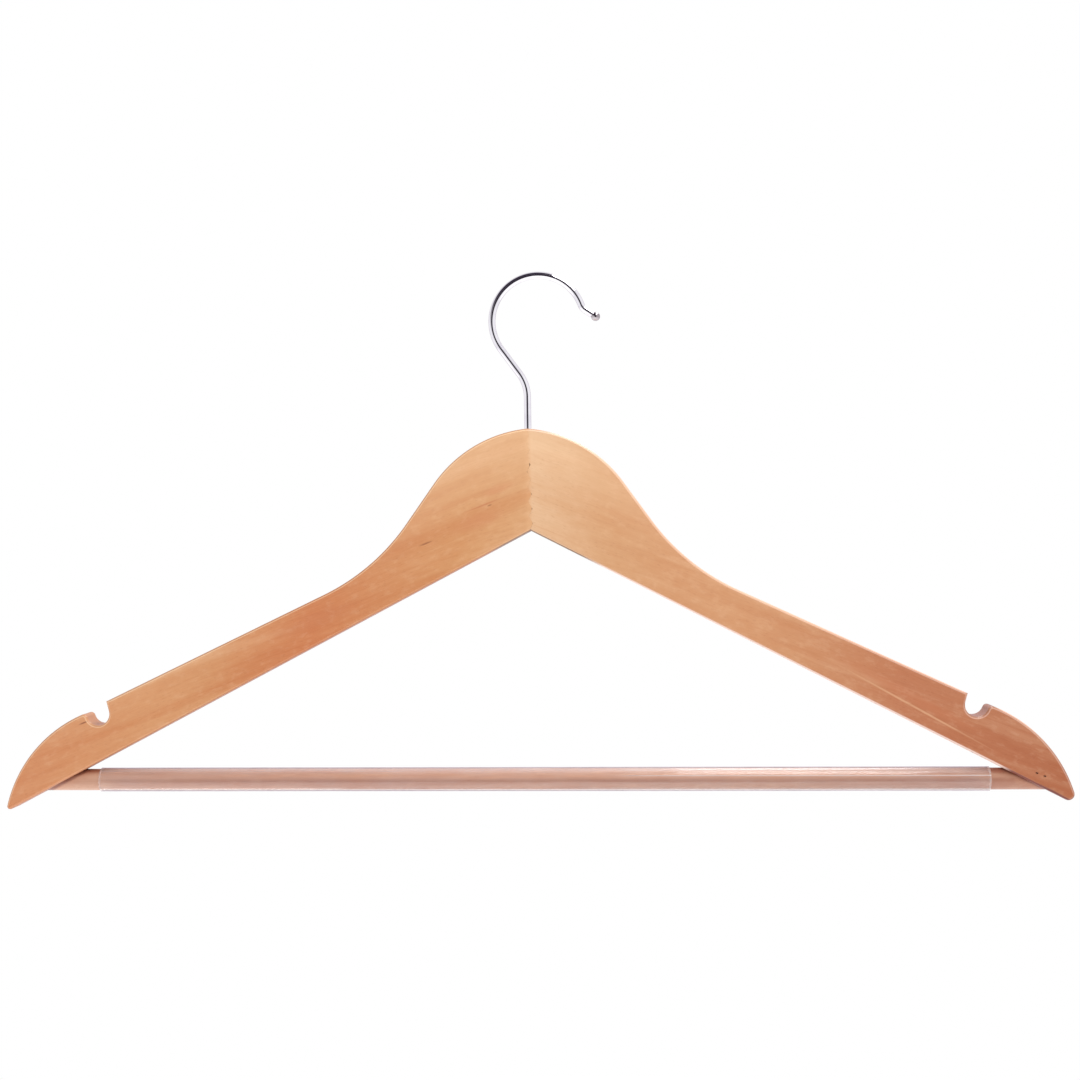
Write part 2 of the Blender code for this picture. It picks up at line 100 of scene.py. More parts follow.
# ---- glued finger joint on the centre seam ----
SEAM_STEPS = 40
SEAM_STEPS_BELOW = 4
SEAM_TOOL_X = 0.260
SEAM_TOOL_Z = -0.150
SEAM_TOOL_Y = 0.02
FINGER_PITCH = 0.0061
FINGER_DEPTH = 0.0016
SEAM_TOP_X = -0.0001
SEAM_BOTTOM_X = 0.0012
SEAM_GAP = 0.00001
BLUNT_TIP = 0.00050
BLUNT_TEETH = 14
GLUE_RECESS = 0.0006
GLUE_BOTTOM_Z = -0.0004
GLUE_TOP_Z = 0.0423

# ---- trouser bar and its clear sleeve ----
BAR_DIAMETER = 0.0090
BAR_LENGTH = 0.4300
BAR_Z = -0.1039
BAR_TILT = math.radians(0.32)
BAR_END_CHAMFER = 0.0005
WAVER = 0.00003
SOCKET_CLEARANCE = 0.0003
SOCKET_START_X = 0.150
SLEEVE_BORE = 0.0095
SLEEVE_DIAMETER = 0.0100
SLEEVE_LENGTH = 0.3716
SLEEVE_OFFSET = 0.0026
SLEEVE_LIP = 0.00012
# height over the bar's axis of a painted highlight line on the sleeve
FRONT_GLINT_HEIGHT = 0.0020
# height of a second painted highlight line, low on the sleeve's front
LOW_GLINT_HEIGHT = -0.0039

# ---- hook ----
WIRE_DIAMETER = 0.0029
ARCH_RADIUS = 0.0193
ARCH_OFFSET = 0.00485
ARCH_CENTRE_Z = 0.0876
NECK_ANGLE = math.radians(54.0)
NECK_BEND_RADIUS = 0.0170
ARCH_END_ANGLE = math.radians(20.0)
FLARE_ANGLE = math.radians(36.0)
FLARE_RADIUS = 0.0045
FLARE_LENGTH = 0.0035
BALL_DIAMETER = 0.0037
SPIGOT_DIAMETER = 0.0018
SPIGOT_LENGTH = 0.0018
SPIGOT_GAP = 0.00015

# ---- swivel fitting and staples ----
FIT_GAP = 0.0003
BORE_TOP_Z = 0.060
BUSH_DIAMETER = 0.0060
BUSH_TOP_Z = 0.0395
BUSH_FLANGE_TOP_Z = 0.0325
POCKET_DIAMETER = 0.0080
POCKET_BOTTOM_Z = 0.0255
WIRE_NECK_DIAMETER = 0.0020
WIRE_HEAD_TOP_Z = 0.0291
WIRE_SHOULDER_Z = 0.0311
WIRE_BOTTOM_Z = 0.0272
STAPLE_X = 0.2080
STAPLE_Z = -0.1026
STAPLE_ANGLE = math.radians(22.5)
STAPLE_SPAN = 0.0034
STAPLE_WIRE = 0.0011
STAPLE_WIDTH = 0.0006
STAPLE_BACK_DEPTH = 0.0012
STAPLE_BLIND_RECESS = 0.0009

# ---- camera, in the seam frame ----
CAMERA_X = 0.0371
CAMERA_DISTANCE = 0.650
CAMERA_Z = -0.0039
CAMERA_YAW = math.radians(2.88)
CAMERA_ROLL = math.radians(-0.83)
CAMERA_LENS = 51.84
CAMERA_SENSOR = 36.0
FLOOR_DROP = 1.15
FLOOR_RADIUS = 3.0

# ---- mesh fineness ----
ROUND_STEPS = 8
ARC_FINENESS = 3
EDGE_STEP = 0.006
WIRE_SIDES = 48
BALL_SIDES = 64
BALL_STEPS = 32
BAR_SIDES = 96
BAR_STEPS = 80
SLEEVE_STEPS = 90
FITTING_SIDES = 64
SMOOTH_ANGLE = math.radians(35.0)
WELD = 1e-6
TOOL_REACH = 0.002
# least cosine of half a corner's turn, so that a sharp corner is not moved too far
LEAST_CORNER = 0.25
NORMAL_WEIGHT = 100

AXIS = Vector(frame["joints"][0]["pos_m"])
SEAT_HEIGHT = HUMP_CENTRE_Z + HUMP_RADIUS - AXIS.z
SEAM_ORIGIN = Vector((AXIS.x, 0.0, -SEAT_HEIGHT))
chance = random.Random(7)


def world(x, y, z):
    """A point of the seam frame in world coordinates."""
    return SEAM_ORIGIN + Vector((x, y, z))


# ---- meshes ----


def shade(mesh):
    """Smooth shading with the real corners kept sharp."""
    mesh.shade_smooth()
    mesh.set_sharp_from_angle(angle=SMOOTH_ANGLE)


def mesh_object(name, verts, faces):
    """A closed mesh from world points."""
    mesh = bpy.data.meshes.new(name)
    mesh.from_pydata([tuple(v) for v in verts], [], faces)
    mesh.validate()
    shape = bmesh.new()
    shape.from_mesh(mesh)
    bmesh.ops.recalc_face_normals(shape, faces=shape.faces)
    shape.to_mesh(mesh)
    shape.free()
    shade(mesh)
    obj = bpy.data.objects.new(name, mesh)
    bpy.context.scene.collection.objects.link(obj)
    return obj


def combine(target, tool, operation):
    """Boolean the tool into the target, keep the result and drop the tool."""
    modifier = target.modifiers.new("cut", "BOOLEAN")
    modifier.operation = operation
    modifier.solver = "MANIFOLD"
    modifier.object = tool
    bpy.context.view_layer.update()
    graph = bpy.context.evaluated_depsgraph_get()
    result = bpy.data.meshes.new_from_object(target.evaluated_get(graph))
    target.modifiers.clear()
    target.data = result
    bpy.data.objects.remove(tool, do_unlink=True)


def settle(obj):
    """Weld the cut edges and give flat faces flat normals next to their rounded rims."""
    shape = bmesh.new()
    shape.from_mesh(obj.data)
    bmesh.ops.remove_doubles(shape, verts=shape.verts, dist=WELD)
    bmesh.ops.dissolve_degenerate(shape, edges=shape.edges, dist=WELD)
    bmesh.ops.recalc_face_normals(shape, faces=shape.faces)
    shape.to_mesh(obj.data)
    shape.free()
    shade(obj.data)
    modifier = obj.modifiers.new("flat faces", "WEIGHTED_NORMAL")
    modifier.keep_sharp = True
    modifier.weight = NORMAL_WEIGHT


def finish_piece(obj, material, body, slot, *nodes):
    """Give a piece its material and tie it to the frame."""
    obj.data.materials.clear()
    obj.data.materials.append(material)
    for face in obj.data.polygons:
        face.material_index = 0
    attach(obj, body)
    if nodes:
        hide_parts(*nodes)


def arc(centre_x, centre_z, radius, start, end, steps):
    """Points of an arc, angles measured from +X towards +Z."""
    points = []
    count = steps * ARC_FINENESS
    for i in range(count + 1):
        angle = start + (end - start) * i / count
        points.append((centre_x + radius * math.cos(angle), centre_z + radius * math.sin(angle)))
    return points


def hump_points():
    """Top of the hump, the steep flank and the hollow shoulder, from the seam outwards."""
    half_pi = math.pi / 2
    start = math.asin(-HUMP_CENTRE_X / HUMP_RADIUS)
    points = arc(HUMP_CENTRE_X, HUMP_CENTRE_Z, HUMP_RADIUS, half_pi - start, half_pi - STEEP_ANGLE, 18)
    last_x, last_z = points[-1]
    steep_z = last_z - math.tan(STEEP_ANGLE) * (STEEP_END_X - last_x)
    centre_x = STEEP_END_X + SHOULDER_RADIUS * math.sin(STEEP_ANGLE)
    centre_z = steep_z + SHOULDER_RADIUS * math.cos(STEEP_ANGLE)
    first = -half_pi - STEEP_ANGLE
    final = -half_pi - ARM_TOP_ANGLE
    return points + arc(centre_x, centre_z, SHOULDER_RADIUS, first, final, 14)


def tip_curve_centre():
    """Centre of the big curve that runs from the notch lip to the end of the arm."""
    centre_x = TIP_CURVE_X - TIP_CURVE_RADIUS * math.sin(ARM_TOP_ANGLE)
    centre_z = TIP_CURVE_Z - TIP_CURVE_RADIUS * math.cos(ARM_TOP_ANGLE)
    return centre_x, centre_z


def lip_centre(notch_z):
    """Centre of the lip round, touching the notch circle outside and the tip curve inside."""
    curve_x, curve_z = tip_curve_centre()
    apart_x = NOTCH_X - curve_x
    apart_z = notch_z - curve_z
    apart = math.hypot(apart_x, apart_z)
    from_curve = TIP_CURVE_RADIUS - LIP_RADIUS
    from_notch = NOTCH_RADIUS + LIP_RADIUS
    along = (apart ** 2 + from_curve ** 2 - from_notch ** 2) / (2 * apart)
    across = math.sqrt(from_curve ** 2 - along ** 2)
    unit_x = apart_x / apart
    unit_z = apart_z / apart
    return curve_x + unit_x * along + unit_z * across, curve_z + unit_z * along - unit_x * across


def notch_points(arm_start, notch_z):
    """Strap notch: sharp inner corner, round seat and rounded outer lip."""
    slope = math.tan(ARM_TOP_ANGLE)
    corner = (NOTCH_CORNER_X, arm_start[1] - slope * (NOTCH_CORNER_X - arm_start[0]))
    away_x = corner[0] - NOTCH_X
    away_z = corner[1] - notch_z
    tangent = math.atan2(away_z, away_x) + math.acos(NOTCH_RADIUS / math.hypot(away_x, away_z))
    lip_x, lip_z = lip_centre(notch_z)
    curve_x, curve_z = tip_curve_centre()
    meet = math.atan2(lip_z - notch_z, lip_x - NOTCH_X)
    seat = arc(NOTCH_X, notch_z, NOTCH_RADIUS, tangent, meet + 2 * math.pi, 18)
    lip_end = math.atan2(lip_z - curve_z, lip_x - curve_x)
    lip = arc(lip_x, lip_z, LIP_RADIUS, meet + math.pi, lip_end, 7)
    return [corner] + seat + lip[1:]


def tip_points(lip_end, tip_round):
    """Outer curve down to the small round end of the arm."""
    centre_x, centre_z = tip_curve_centre()
    inner_radius = TIP_CURVE_RADIUS - tip_round
    along_x = math.cos(ARM_BOTTOM_ANGLE)
    along_z = -math.sin(ARM_BOTTOM_ANGLE)
    base_x = -along_z * tip_round
    base_z = along_x * tip_round
    offset_x = base_x - centre_x
    offset_z = base_z - centre_z
    half_b = offset_x * along_x + offset_z * along_z
    travel = math.sqrt(half_b ** 2 - (offset_x ** 2 + offset_z ** 2 - inner_radius ** 2)) - half_b
    round_x = base_x + along_x * travel
    round_z = base_z + along_z * travel
    start = math.atan2(lip_end[1] - centre_z, lip_end[0] - centre_x)
    meet = math.atan2(round_z - centre_z, round_x - centre_x)
    curve = arc(centre_x, centre_z, TIP_CURVE_RADIUS, start, meet, 16)
    tip = arc(round_x, round_z, tip_round, meet, -math.pi / 2 - ARM_BOTTOM_ANGLE, 8)
    return curve[1:] + tip[1:]


def half_outline(notch_z, tip_round):
    """Right half of the outline from the top of the seam round to the inner vertex."""
    points = hump_points()
    points += notch_points(points[-1], notch_z)
    points += tip_points(points[-1], tip_round)
    return points + [(VERTEX_X, 0.0)]


def full_outline():
    """The whole body outline, clockwise from the top of the seam."""
    right = half_outline(RIGHT_NOTCH_Z, RIGHT_TIP_ROUND)
    left = half_outline(LEFT_NOTCH_Z, LEFT_TIP_ROUND)
    return spread(right + [(-x, z) for x, z in reversed(left[1:-1])])


def spread(points):
    """The same outline with its long straight edges cut into short ones."""
    finer = []
    for (x, z), (next_x, next_z) in zip(points, points[1:] + points[:1]):
        pieces = math.ceil(math.hypot(next_x - x, next_z - z) / EDGE_STEP)
        for i in range(pieces):
            finer.append((x + (next_x - x) * i / pieces, z + (next_z - z) * i / pieces))
    return finer


def inset(points, distance):
    """Every point of a clockwise outline moved inwards by the same distance."""
    moved = []
    count = len(points)
    for i in range(count):
        before = Vector(points[i - 1])
        here = Vector(points[i])
        after = Vector(points[(i + 1) % count])
        first = (here - before).normalized()
        second = (after - here).normalized()
        normal_a = Vector((first.y, -first.x))
        normal_b = Vector((second.y, -second.x))
        middle = (normal_a + normal_b).normalized()
        moved.append(tuple(here + middle * distance / max(middle.dot(normal_a), LEAST_CORNER)))
    return moved


def rounded_plate(name, outline, thickness, radius):
    """A flat plate with both rims rounded over."""
    count = len(outline)
    rings = []
    for i in range(ROUND_STEPS + 1):
        angle = math.pi / 2 * i / ROUND_STEPS
        depth = thickness / 2 - radius * (1 - math.sin(angle))
        rings.append((radius * (1 - math.cos(angle)), depth))
    sections = [(pull, -depth) for pull, depth in reversed(rings)] + rings
    verts = []
    for pull, y in sections:
        verts += [world(x, y, z) for x, z in inset(outline, pull)]
    faces = [tuple(range(count)), tuple(reversed(range(len(verts) - count, len(verts))))]
    for level in range(len(sections) - 1):
        low = level * count
        high = low + count
        for i in range(count):
            j = (i + 1) % count
            faces.append((low + i, high + i, high + j, low + j))
    return mesh_object(name, verts, faces)


def prism_faces(count):
    """Two ends of count corners each and the walls between them."""
    faces = [tuple(range(count)), tuple(reversed(range(count, 2 * count)))]
    for i in range(count):
        j = (i + 1) % count
        faces.append((i, count + i, count + j, j))
    return faces


def prism(name, outline, front, back):
    """A straight prism along Y over an outline in the seam frame."""
    verts = [world(x, front, z) for x, z in outline]
    verts += [world(x, back, z) for x, z in outline]
    return mesh_object(name, verts, prism_faces(len(outline)))


def turned(name, profile, sides, place, hollow=False):
    """A turned solid from (radius, position) points; place(position, across, up) gives a point."""
    verts = []
    rings = []
    for radius, position in profile:
        count = 1 if radius == 0.0 else sides
        rings.append(list(range(len(verts), len(verts) + count)))
        for i in range(count):
            angle = 2 * math.pi * i / sides
            verts.append(place(position, radius * math.cos(angle), radius * math.sin(angle)))
    if hollow:
        rings.append(rings[0])
    return mesh_object(name, verts, ring_faces(rings, sides))


def ring_faces(rings, sides):
    """Faces between neighbouring rings; a ring of one point closes an end."""
    faces = []
    for low, high in zip(rings, rings[1:]):
        for i in range(sides):
            j = (i + 1) % sides
            if len(low) == 1:
                faces.append((low[0], high[i], high[j]))
            elif len(high) == 1:
                faces.append((low[i], high[0], low[j]))
            else:
                faces.append((low[i], high[i], high[j], low[j]))
    return faces


def along_bar(position, across, up):
    """Turned about the bar's own axis, which drops a little towards the right."""
    x = position * math.cos(BAR_TILT) + up * math.sin(BAR_TILT)
    z = up * math.cos(BAR_TILT) - position * math.sin(BAR_TILT)
    return world(x, across, BAR_Z + z)


def along_hook(position, across, up):
    """Turned about the swivel axis."""
    return world(across, up, position)


# ---- finger joint ----


def tooth_cuts():
    """How far each tooth stops short of the bottom of its groove."""
    blunt = [BLUNT_TIP * chance.random() for _ in range(BLUNT_TEETH)]
    return blunt + [0.0] * (SEAM_STEPS - BLUNT_TEETH)


def seam_edge(side, cuts):
    """One arm's zigzag, its own tooth tips cut back, from below the vertex to above the hump."""
    low = -SEAM_STEPS_BELOW * FINGER_PITCH / 2
    top = HUMP_CENTRE_Z + HUMP_RADIUS
    points = []
    for step, cut in enumerate(cuts):
        z = low + step * FINGER_PITCH / 2
        if z > top + FINGER_PITCH:
            break
        lean = SEAM_BOTTOM_X + (SEAM_TOP_X - SEAM_BOTTOM_X) * z / top
        way = 1 if step % 2 else -1
        tip = lean + way * FINGER_DEPTH / 2 + side * SEAM_GAP / 2
        if way == -side:
            rise = cut / FINGER_DEPTH * FINGER_PITCH / 2
            points += [(tip - way * cut, z - rise), (tip - way * cut, z + rise)]
        else:
            points.append((tip, z))
    return points


def seam_tool(side, cuts):
    """Everything on one side of the finger joint."""
    line = seam_edge(side, cuts)
    far = side * SEAM_TOOL_X
    outline = [(far, SEAM_TOOL_Z), (line[0][0], SEAM_TOOL_Z)] + line + [(far, line[-1][1])]
    return prism("seam_tool", outline, -SEAM_TOOL_Y, SEAM_TOOL_Y)


def build_glue(cuts):
    """The film of glue in the joint, just under the wood's surface."""
    left = [p for p in seam_edge(-1, cuts) if GLUE_BOTTOM_Z < p[1] < GLUE_TOP_Z]
    right = [p for p in seam_edge(1, cuts) if GLUE_BOTTOM_Z < p[1] < GLUE_TOP_Z]
    depth = ARM_THICKNESS / 2 - GLUE_RECESS
    film = prism("joint_glue", left + right[::-1], -depth, depth)
    combine(film, hook_hole_tool(), "DIFFERENCE")
    return film


# ---- wooden arms ----


def socket_tool(side):
    """Blind hole for the end of the trouser bar."""
    radius = BAR_DIAMETER / 2 + SOCKET_CLEARANCE
    inner = side * SOCKET_START_X
    outer = side * (BAR_LENGTH / 2 + SOCKET_CLEARANCE)
    profile = [(0.0, inner), (radius, inner), (radius, outer), (0.0, outer)]
    return turned("socket_tool", profile, BAR_SIDES, along_bar)


def hook_hole_tool():
    """Bore for the wire, seat for the bush and pocket for the collar."""
    bore = WIRE_DIAMETER / 2 + FIT_GAP
    seat = BUSH_DIAMETER / 2 + FIT_GAP
    pocket = POCKET_DIAMETER / 2
    profile = [(0.0, BORE_TOP_Z), (bore, BORE_TOP_Z), (bore, BUSH_TOP_Z + FIT_GAP)]
    profile += [(seat, BUSH_TOP_Z + FIT_GAP), (seat, BUSH_FLANGE_TOP_Z + FIT_GAP)]
    profile += [(pocket, BUSH_FLANGE_TOP_Z + FIT_GAP), (pocket, POCKET_BOTTOM_Z)]
    profile += [(0.0, POCKET_BOTTOM_Z)]
    return turned("hook_hole_tool", profile, FITTING_SIDES, along_hook)


def staple_tool(side):
    """The two leg slots and the back groove of a staple; the left one stops inside the wood."""
    half = STAPLE_SPAN / 2
    outer = half + STAPLE_WIRE / 2
    inner = half - STAPLE_WIRE / 2
    back = ARM_THICKNESS / 2 + TOOL_REACH
    crown = ARM_THICKNESS / 2 - STAPLE_BACK_DEPTH
    front = -ARM_THICKNESS / 2 - TOOL_REACH if side > 0 else -ARM_THICKNESS / 2 + STAPLE_BLIND_RECESS
    shape = [(-outer, front), (-outer, back), (outer, back), (outer, front)]
    shape += [(inner, front), (inner, crown), (-inner, crown), (-inner, front)]
    lean_x = side * math.cos(STAPLE_ANGLE)
    lean_z = -math.sin(STAPLE_ANGLE)
    verts = []
    for level in (-STAPLE_WIDTH / 2, STAPLE_WIDTH / 2):
        for along, y in shape:
            x = side * STAPLE_X + lean_x * along - lean_z * level * side
            z = STAPLE_Z + lean_z * along + abs(lean_x) * level
            verts.append(world(x, y, z))
    return mesh_object("staple_tool", verts, prism_faces(len(shape)))


def build_arm(name, side, cuts):
    """One arm with its half of the finger joint, hook pocket, notch, bar socket and staple slots."""
    arm = rounded_plate(name, full_outline(), ARM_THICKNESS, EDGE_ROUND)
    combine(arm, seam_tool(side, cuts), "INTERSECT")
    combine(arm, socket_tool(side), "DIFFERENCE")
    combine(arm, hook_hole_tool(), "DIFFERENCE")
    combine(arm, staple_tool(side), "DIFFERENCE")
    settle(arm)
    return arm


# ---- bar and sleeve ----


def build_bar():
    """Round bar with eased ends and the staple slots, turned with a slight waviness."""
    radius = BAR_DIAMETER / 2
    end = BAR_LENGTH / 2
    chamfer = BAR_END_CHAMFER
    profile = [(0.0, -end), (radius - chamfer, -end)]
    for i in range(BAR_STEPS + 1):
        position = -end + chamfer + (2 * end - 2 * chamfer) * i / BAR_STEPS
        profile.append((radius - WAVER * chance.random(), position))
    profile += [(radius - chamfer, end), (0.0, end)]
    bar = turned("beech_bar", profile, BAR_SIDES, along_bar)
    for side in (-1, 1):
        combine(bar, staple_tool(side), "DIFFERENCE")
    settle(bar)
    return bar


def build_sleeve():
    """Clear tube with slightly rolled cut ends and a wall that wavers a little."""
    inner = SLEEVE_BORE / 2
    outer = SLEEVE_DIAMETER / 2
    left = SLEEVE_OFFSET - SLEEVE_LENGTH / 2
    right = SLEEVE_OFFSET + SLEEVE_LENGTH / 2
    lip = SLEEVE_LIP
    profile = [(inner, left), (outer - lip, left), (outer, left + lip), (outer, left + 3 * lip)]
    plain_end = 10 * lip
    for i in range(SLEEVE_STEPS + 1):
        position = left + plain_end + (right - left - 2 * plain_end) * i / SLEEVE_STEPS
        profile.append((outer - WAVER - WAVER * chance.random(), position))
    profile += [(outer, right - 3 * lip), (outer, right - lip), (outer - lip, right), (inner, right)]
    return turned("clear_sleeve", profile, BAR_SIDES, along_bar, hollow=True)


# ---- hook ----


def hook_path():
    """Centre-line of the exposed wire, from the wood to the ball."""
    half_pi = math.pi / 2
    turn = half_pi - NECK_ANGLE
    slope_x = -math.cos(NECK_ANGLE)
    slope_z = math.sin(NECK_ANGLE)
    touch_x = ARCH_OFFSET - ARCH_RADIUS * slope_z
    touch_z = ARCH_CENTRE_Z + ARCH_RADIUS * slope_x
    corner_z = touch_z + slope_z * touch_x / -slope_x
    tangent = NECK_BEND_RADIUS * math.tan(turn / 2)
    points = arc(-NECK_BEND_RADIUS, corner_z - tangent, NECK_BEND_RADIUS, 0.0, turn, 7)
    points += arc(ARCH_OFFSET, ARCH_CENTRE_Z, ARCH_RADIUS, math.pi + turn, ARCH_END_ANGLE, 34)
    end_x, end_z = points[-1]
    flare_x = end_x + FLARE_RADIUS * math.cos(ARCH_END_ANGLE)
    flare_z = end_z + FLARE_RADIUS * math.sin(ARCH_END_ANGLE)
    start = math.pi + ARCH_END_ANGLE
    points += arc(flare_x, flare_z, FLARE_RADIUS, start, start + FLARE_ANGLE, 7)[1:]
    direction = start + FLARE_ANGLE + half_pi
    last_x, last_z = points[-1]
    points.append((last_x + FLARE_LENGTH * math.cos(direction), last_z + FLARE_LENGTH * math.sin(direction)))
    return points


def path_directions(points):
    """Unit direction at every point of a path in the XZ plane."""
    directions = []
    for i in range(len(points)):
        before = Vector(points[max(i - 1, 0)])
        after = Vector(points[min(i + 1, len(points) - 1)])
        directions.append((after - before).normalized())
    return directions


def build_hook():
    """Bent wire with a riveted lower end and a spigot for the ball."""
    points = hook_path()
    full = WIRE_DIAMETER / 2
    neck = WIRE_NECK_DIAMETER / 2
    spigot = SPIGOT_DIAMETER / 2
    upright = Vector((0.0, 1.0))
    lower = [(WIRE_BOTTOM_Z, full), (WIRE_HEAD_TOP_Z, full), (WIRE_HEAD_TOP_Z, neck)]
    lower += [(WIRE_SHOULDER_Z, neck), (WIRE_SHOULDER_Z, full)]
    stations = [(0.0, z, radius, upright) for z, radius in lower]
    stations += [(x, z, full, way) for (x, z), way in zip(points, path_directions(points))]
    end_x, end_z, _, way = stations[-1]
    stations.append((end_x, end_z, spigot, way))
    stations.append((end_x + way.x * SPIGOT_LENGTH, end_z + way.y * SPIGOT_LENGTH, spigot, way))
    verts = []
    rings = []
    for x, z, radius, way in stations:
        rings.append(list(range(len(verts), len(verts) + WIRE_SIDES)))
        for i in range(WIRE_SIDES):
            angle = 2 * math.pi * i / WIRE_SIDES
            side = radius * math.cos(angle)
            verts.append(world(x + way.y * side, radius * math.sin(angle), z - way.x * side))
    faces = [tuple(rings[0]), tuple(rings[-1])] + ring_faces(rings, WIRE_SIDES)
    return mesh_object("chrome_hook", verts, faces)


def build_ball():
    """Ball on the end of the wire, with a blind bore for the spigot."""
    points = hook_path()
    way = path_directions(points)[-1]
    radius = BALL_DIAMETER / 2
    bore = SPIGOT_DIAMETER / 2 + SPIGOT_GAP
    mouth = math.asin(bore / radius)
    back = radius * math.cos(mouth)
    centre = Vector(points[-1]) + way * (back + SPIGOT_GAP)
    bottom = SPIGOT_LENGTH + SPIGOT_GAP - back
    profile = [(0.0, bottom), (bore, bottom)]
    for i in range(BALL_STEPS):
        angle = (math.pi - mouth) * (1 - i / BALL_STEPS)
        profile.append((radius * math.sin(angle), radius * math.cos(angle)))
    profile.append((0.0, radius))

    def along_wire_end(position, across, up):
        x = centre.x + way.x * position + way.y * across
        z = centre.y + way.y * position - way.x * across
        return world(x, up, z)

    return turned("chrome_ball", profile, BALL_SIDES, along_wire_end)


# ---- materials ----
UNIT = (1.0, 1.0, 1.0)
NO_SHIFT = (0.0, 0.0, 0.0)
WHITE = (1.0, 1.0, 1.0, 1.0)
SWAY_SIZE = (0.060, 0.030, 0.018)
SWAY_REACH = 0.0035
FLECK_SIZE = (0.0030, 0.0012, 0.00055)
LINES_PER_WAVE = 9.0
MARK_DEPTH = 10.0
# size of each layer's grain along, through and across the wood, then its detail and roughness
GRAIN_LAYERS = {
    "bands": ((0.110, 0.040, 0.0075), 3.0, 0.55),
    "drift": ((0.045, 0.030, 0.016), 2.0, 0.5),
    "fibre": ((0.012, 0.0020, 0.00055), 3.0, 0.6),
    "hair": ((0.004, 0.0005, 0.00018), 2.0, 0.6),
    "mottle": ((0.0050, 0.0040, 0.0026), 3.0, 0.6),
    "ring": ((0.170, 0.060, 0.0100), 1.0, 0.5),
}


class Mark(NamedTuple):
    """One long soft mark on the wood, for a streak in it and for painted light and shade; its lean is
    measured from the grain.
    """

    x: float
    z: float
    length: float
    width: float
    tint: tuple
    strength: float
    lean: float = 0.0


class Rims(NamedTuple):
    """Tones of the upper and under rim along a piece, and of the crest where a face turns; most
    are painted highlights and painted shade.

    A tone's alpha is its strength; strip is how far the under rim's tone runs on to the face.
    """

    upper: list
    under: list
    crest: tuple
    strip: float


def colour(red, green, blue, alpha=1.0):
    """A display colour, 0 to 255, as a linear one."""
    channels = []
    for value in (red, green, blue):
        level = value / 255
        channels.append(level / 12.92 if level <= 0.04045 else ((level + 0.055) / 1.055) ** 2.4)
    return (*channels, alpha)


class Tree:
    """Short calls for the nodes of one material or world."""

    def __init__(self, owner):
        owner.use_nodes = True
        self.nodes = owner.node_tree.nodes
        self.links = owner.node_tree.links

    def add(self, kind, inputs, **settings):
        node = self.nodes.new(kind)
        for key, value in settings.items():
            setattr(node, key, value)
        self.feed(node, inputs)
        return node

    def feed(self, node, inputs):
        for key, value in inputs.items():
            if isinstance(value, bpy.types.NodeSocket):
                self.links.new(value, node.inputs[key])
            else:
                node.inputs[key].default_value = value

    def maths(self, operation, first, second=0.0):
        return self.add("ShaderNodeMath", {0: first, 1: second}, operation=operation).outputs[0]

    def product(self, first, second):
        return self.maths("MULTIPLY", first, second)

    def total(self, first, second):
        return self.maths("ADD", first, second)

    def apart(self, value, centre):
        """How far a value is from a centre."""
        return self.maths("ABSOLUTE", self.maths("SUBTRACT", value, centre))

    def mix(self, factor, first, second, blend="MIX"):
        inputs = {0: factor, 6: first, 7: second}
        return self.add("ShaderNodeMix", inputs, data_type="RGBA", blend_type=blend).outputs[2]

    def deepen(self, factor, tint, tone):
        """A tint multiplied by a tone."""
        return self.mix(factor, tint, (*tone, 1.0), "MULTIPLY")

    def ease(self, value, low, high, to_low=0.0, to_high=1.0):
        inputs = {0: value, 1: low, 2: high, 3: to_low, 4: to_high}
        return self.add("ShaderNodeMapRange", inputs, interpolation_type="SMOOTHSTEP").outputs[0]

    def local(self, vector, origin, turn, size):
        """A vector as seen from an origin, turned about Y and measured in sizes."""
        inputs = {0: vector, 1: origin, 2: (0.0, turn, 0.0), 3: size}
        return self.add("ShaderNodeMapping", inputs, vector_type="TEXTURE").outputs[0]

    def noise(self, vector, detail=2.0, roughness=0.5):
        inputs = {"Vector": vector, "Scale": 1.0, "Detail": detail, "Roughness": roughness}
        return self.add("ShaderNodeTexNoise", inputs).outputs[0]

    def cells(self, vector):
        return self.add("ShaderNodeTexVoronoi", {"Vector": vector, "Scale": 1.0}).outputs

    def parts(self, vector):
        return self.add("ShaderNodeSeparateXYZ", {0: vector}).outputs

    def ramp(self, value, stops):
        node = self.add("ShaderNodeValToRGB", {0: value})
        elements = node.color_ramp.elements
        elements[0].position, elements[0].color = stops[0]
        elements[1].position, elements[1].color = stops[-1]
        for position, stop_colour in stops[1:-1]:
            elements.new(position).color = stop_colour
        return node.outputs

    def object_vector(self):
        return self.add("ShaderNodeTexCoord", {}).outputs["Object"]

    def seam_vector(self):
        """The object's points in the seam frame."""
        return self.local(self.object_vector(), tuple(SEAM_ORIGIN), 0.0, UNIT)

    def surface(self, inputs):
        self.feed(self.nodes["Principled BSDF"], inputs)

    def bump(self, height, strength, distance):
        inputs = {"Height": height, "Strength": strength, "Distance": distance}
        return self.add("ShaderNodeBump", inputs).outputs[0]


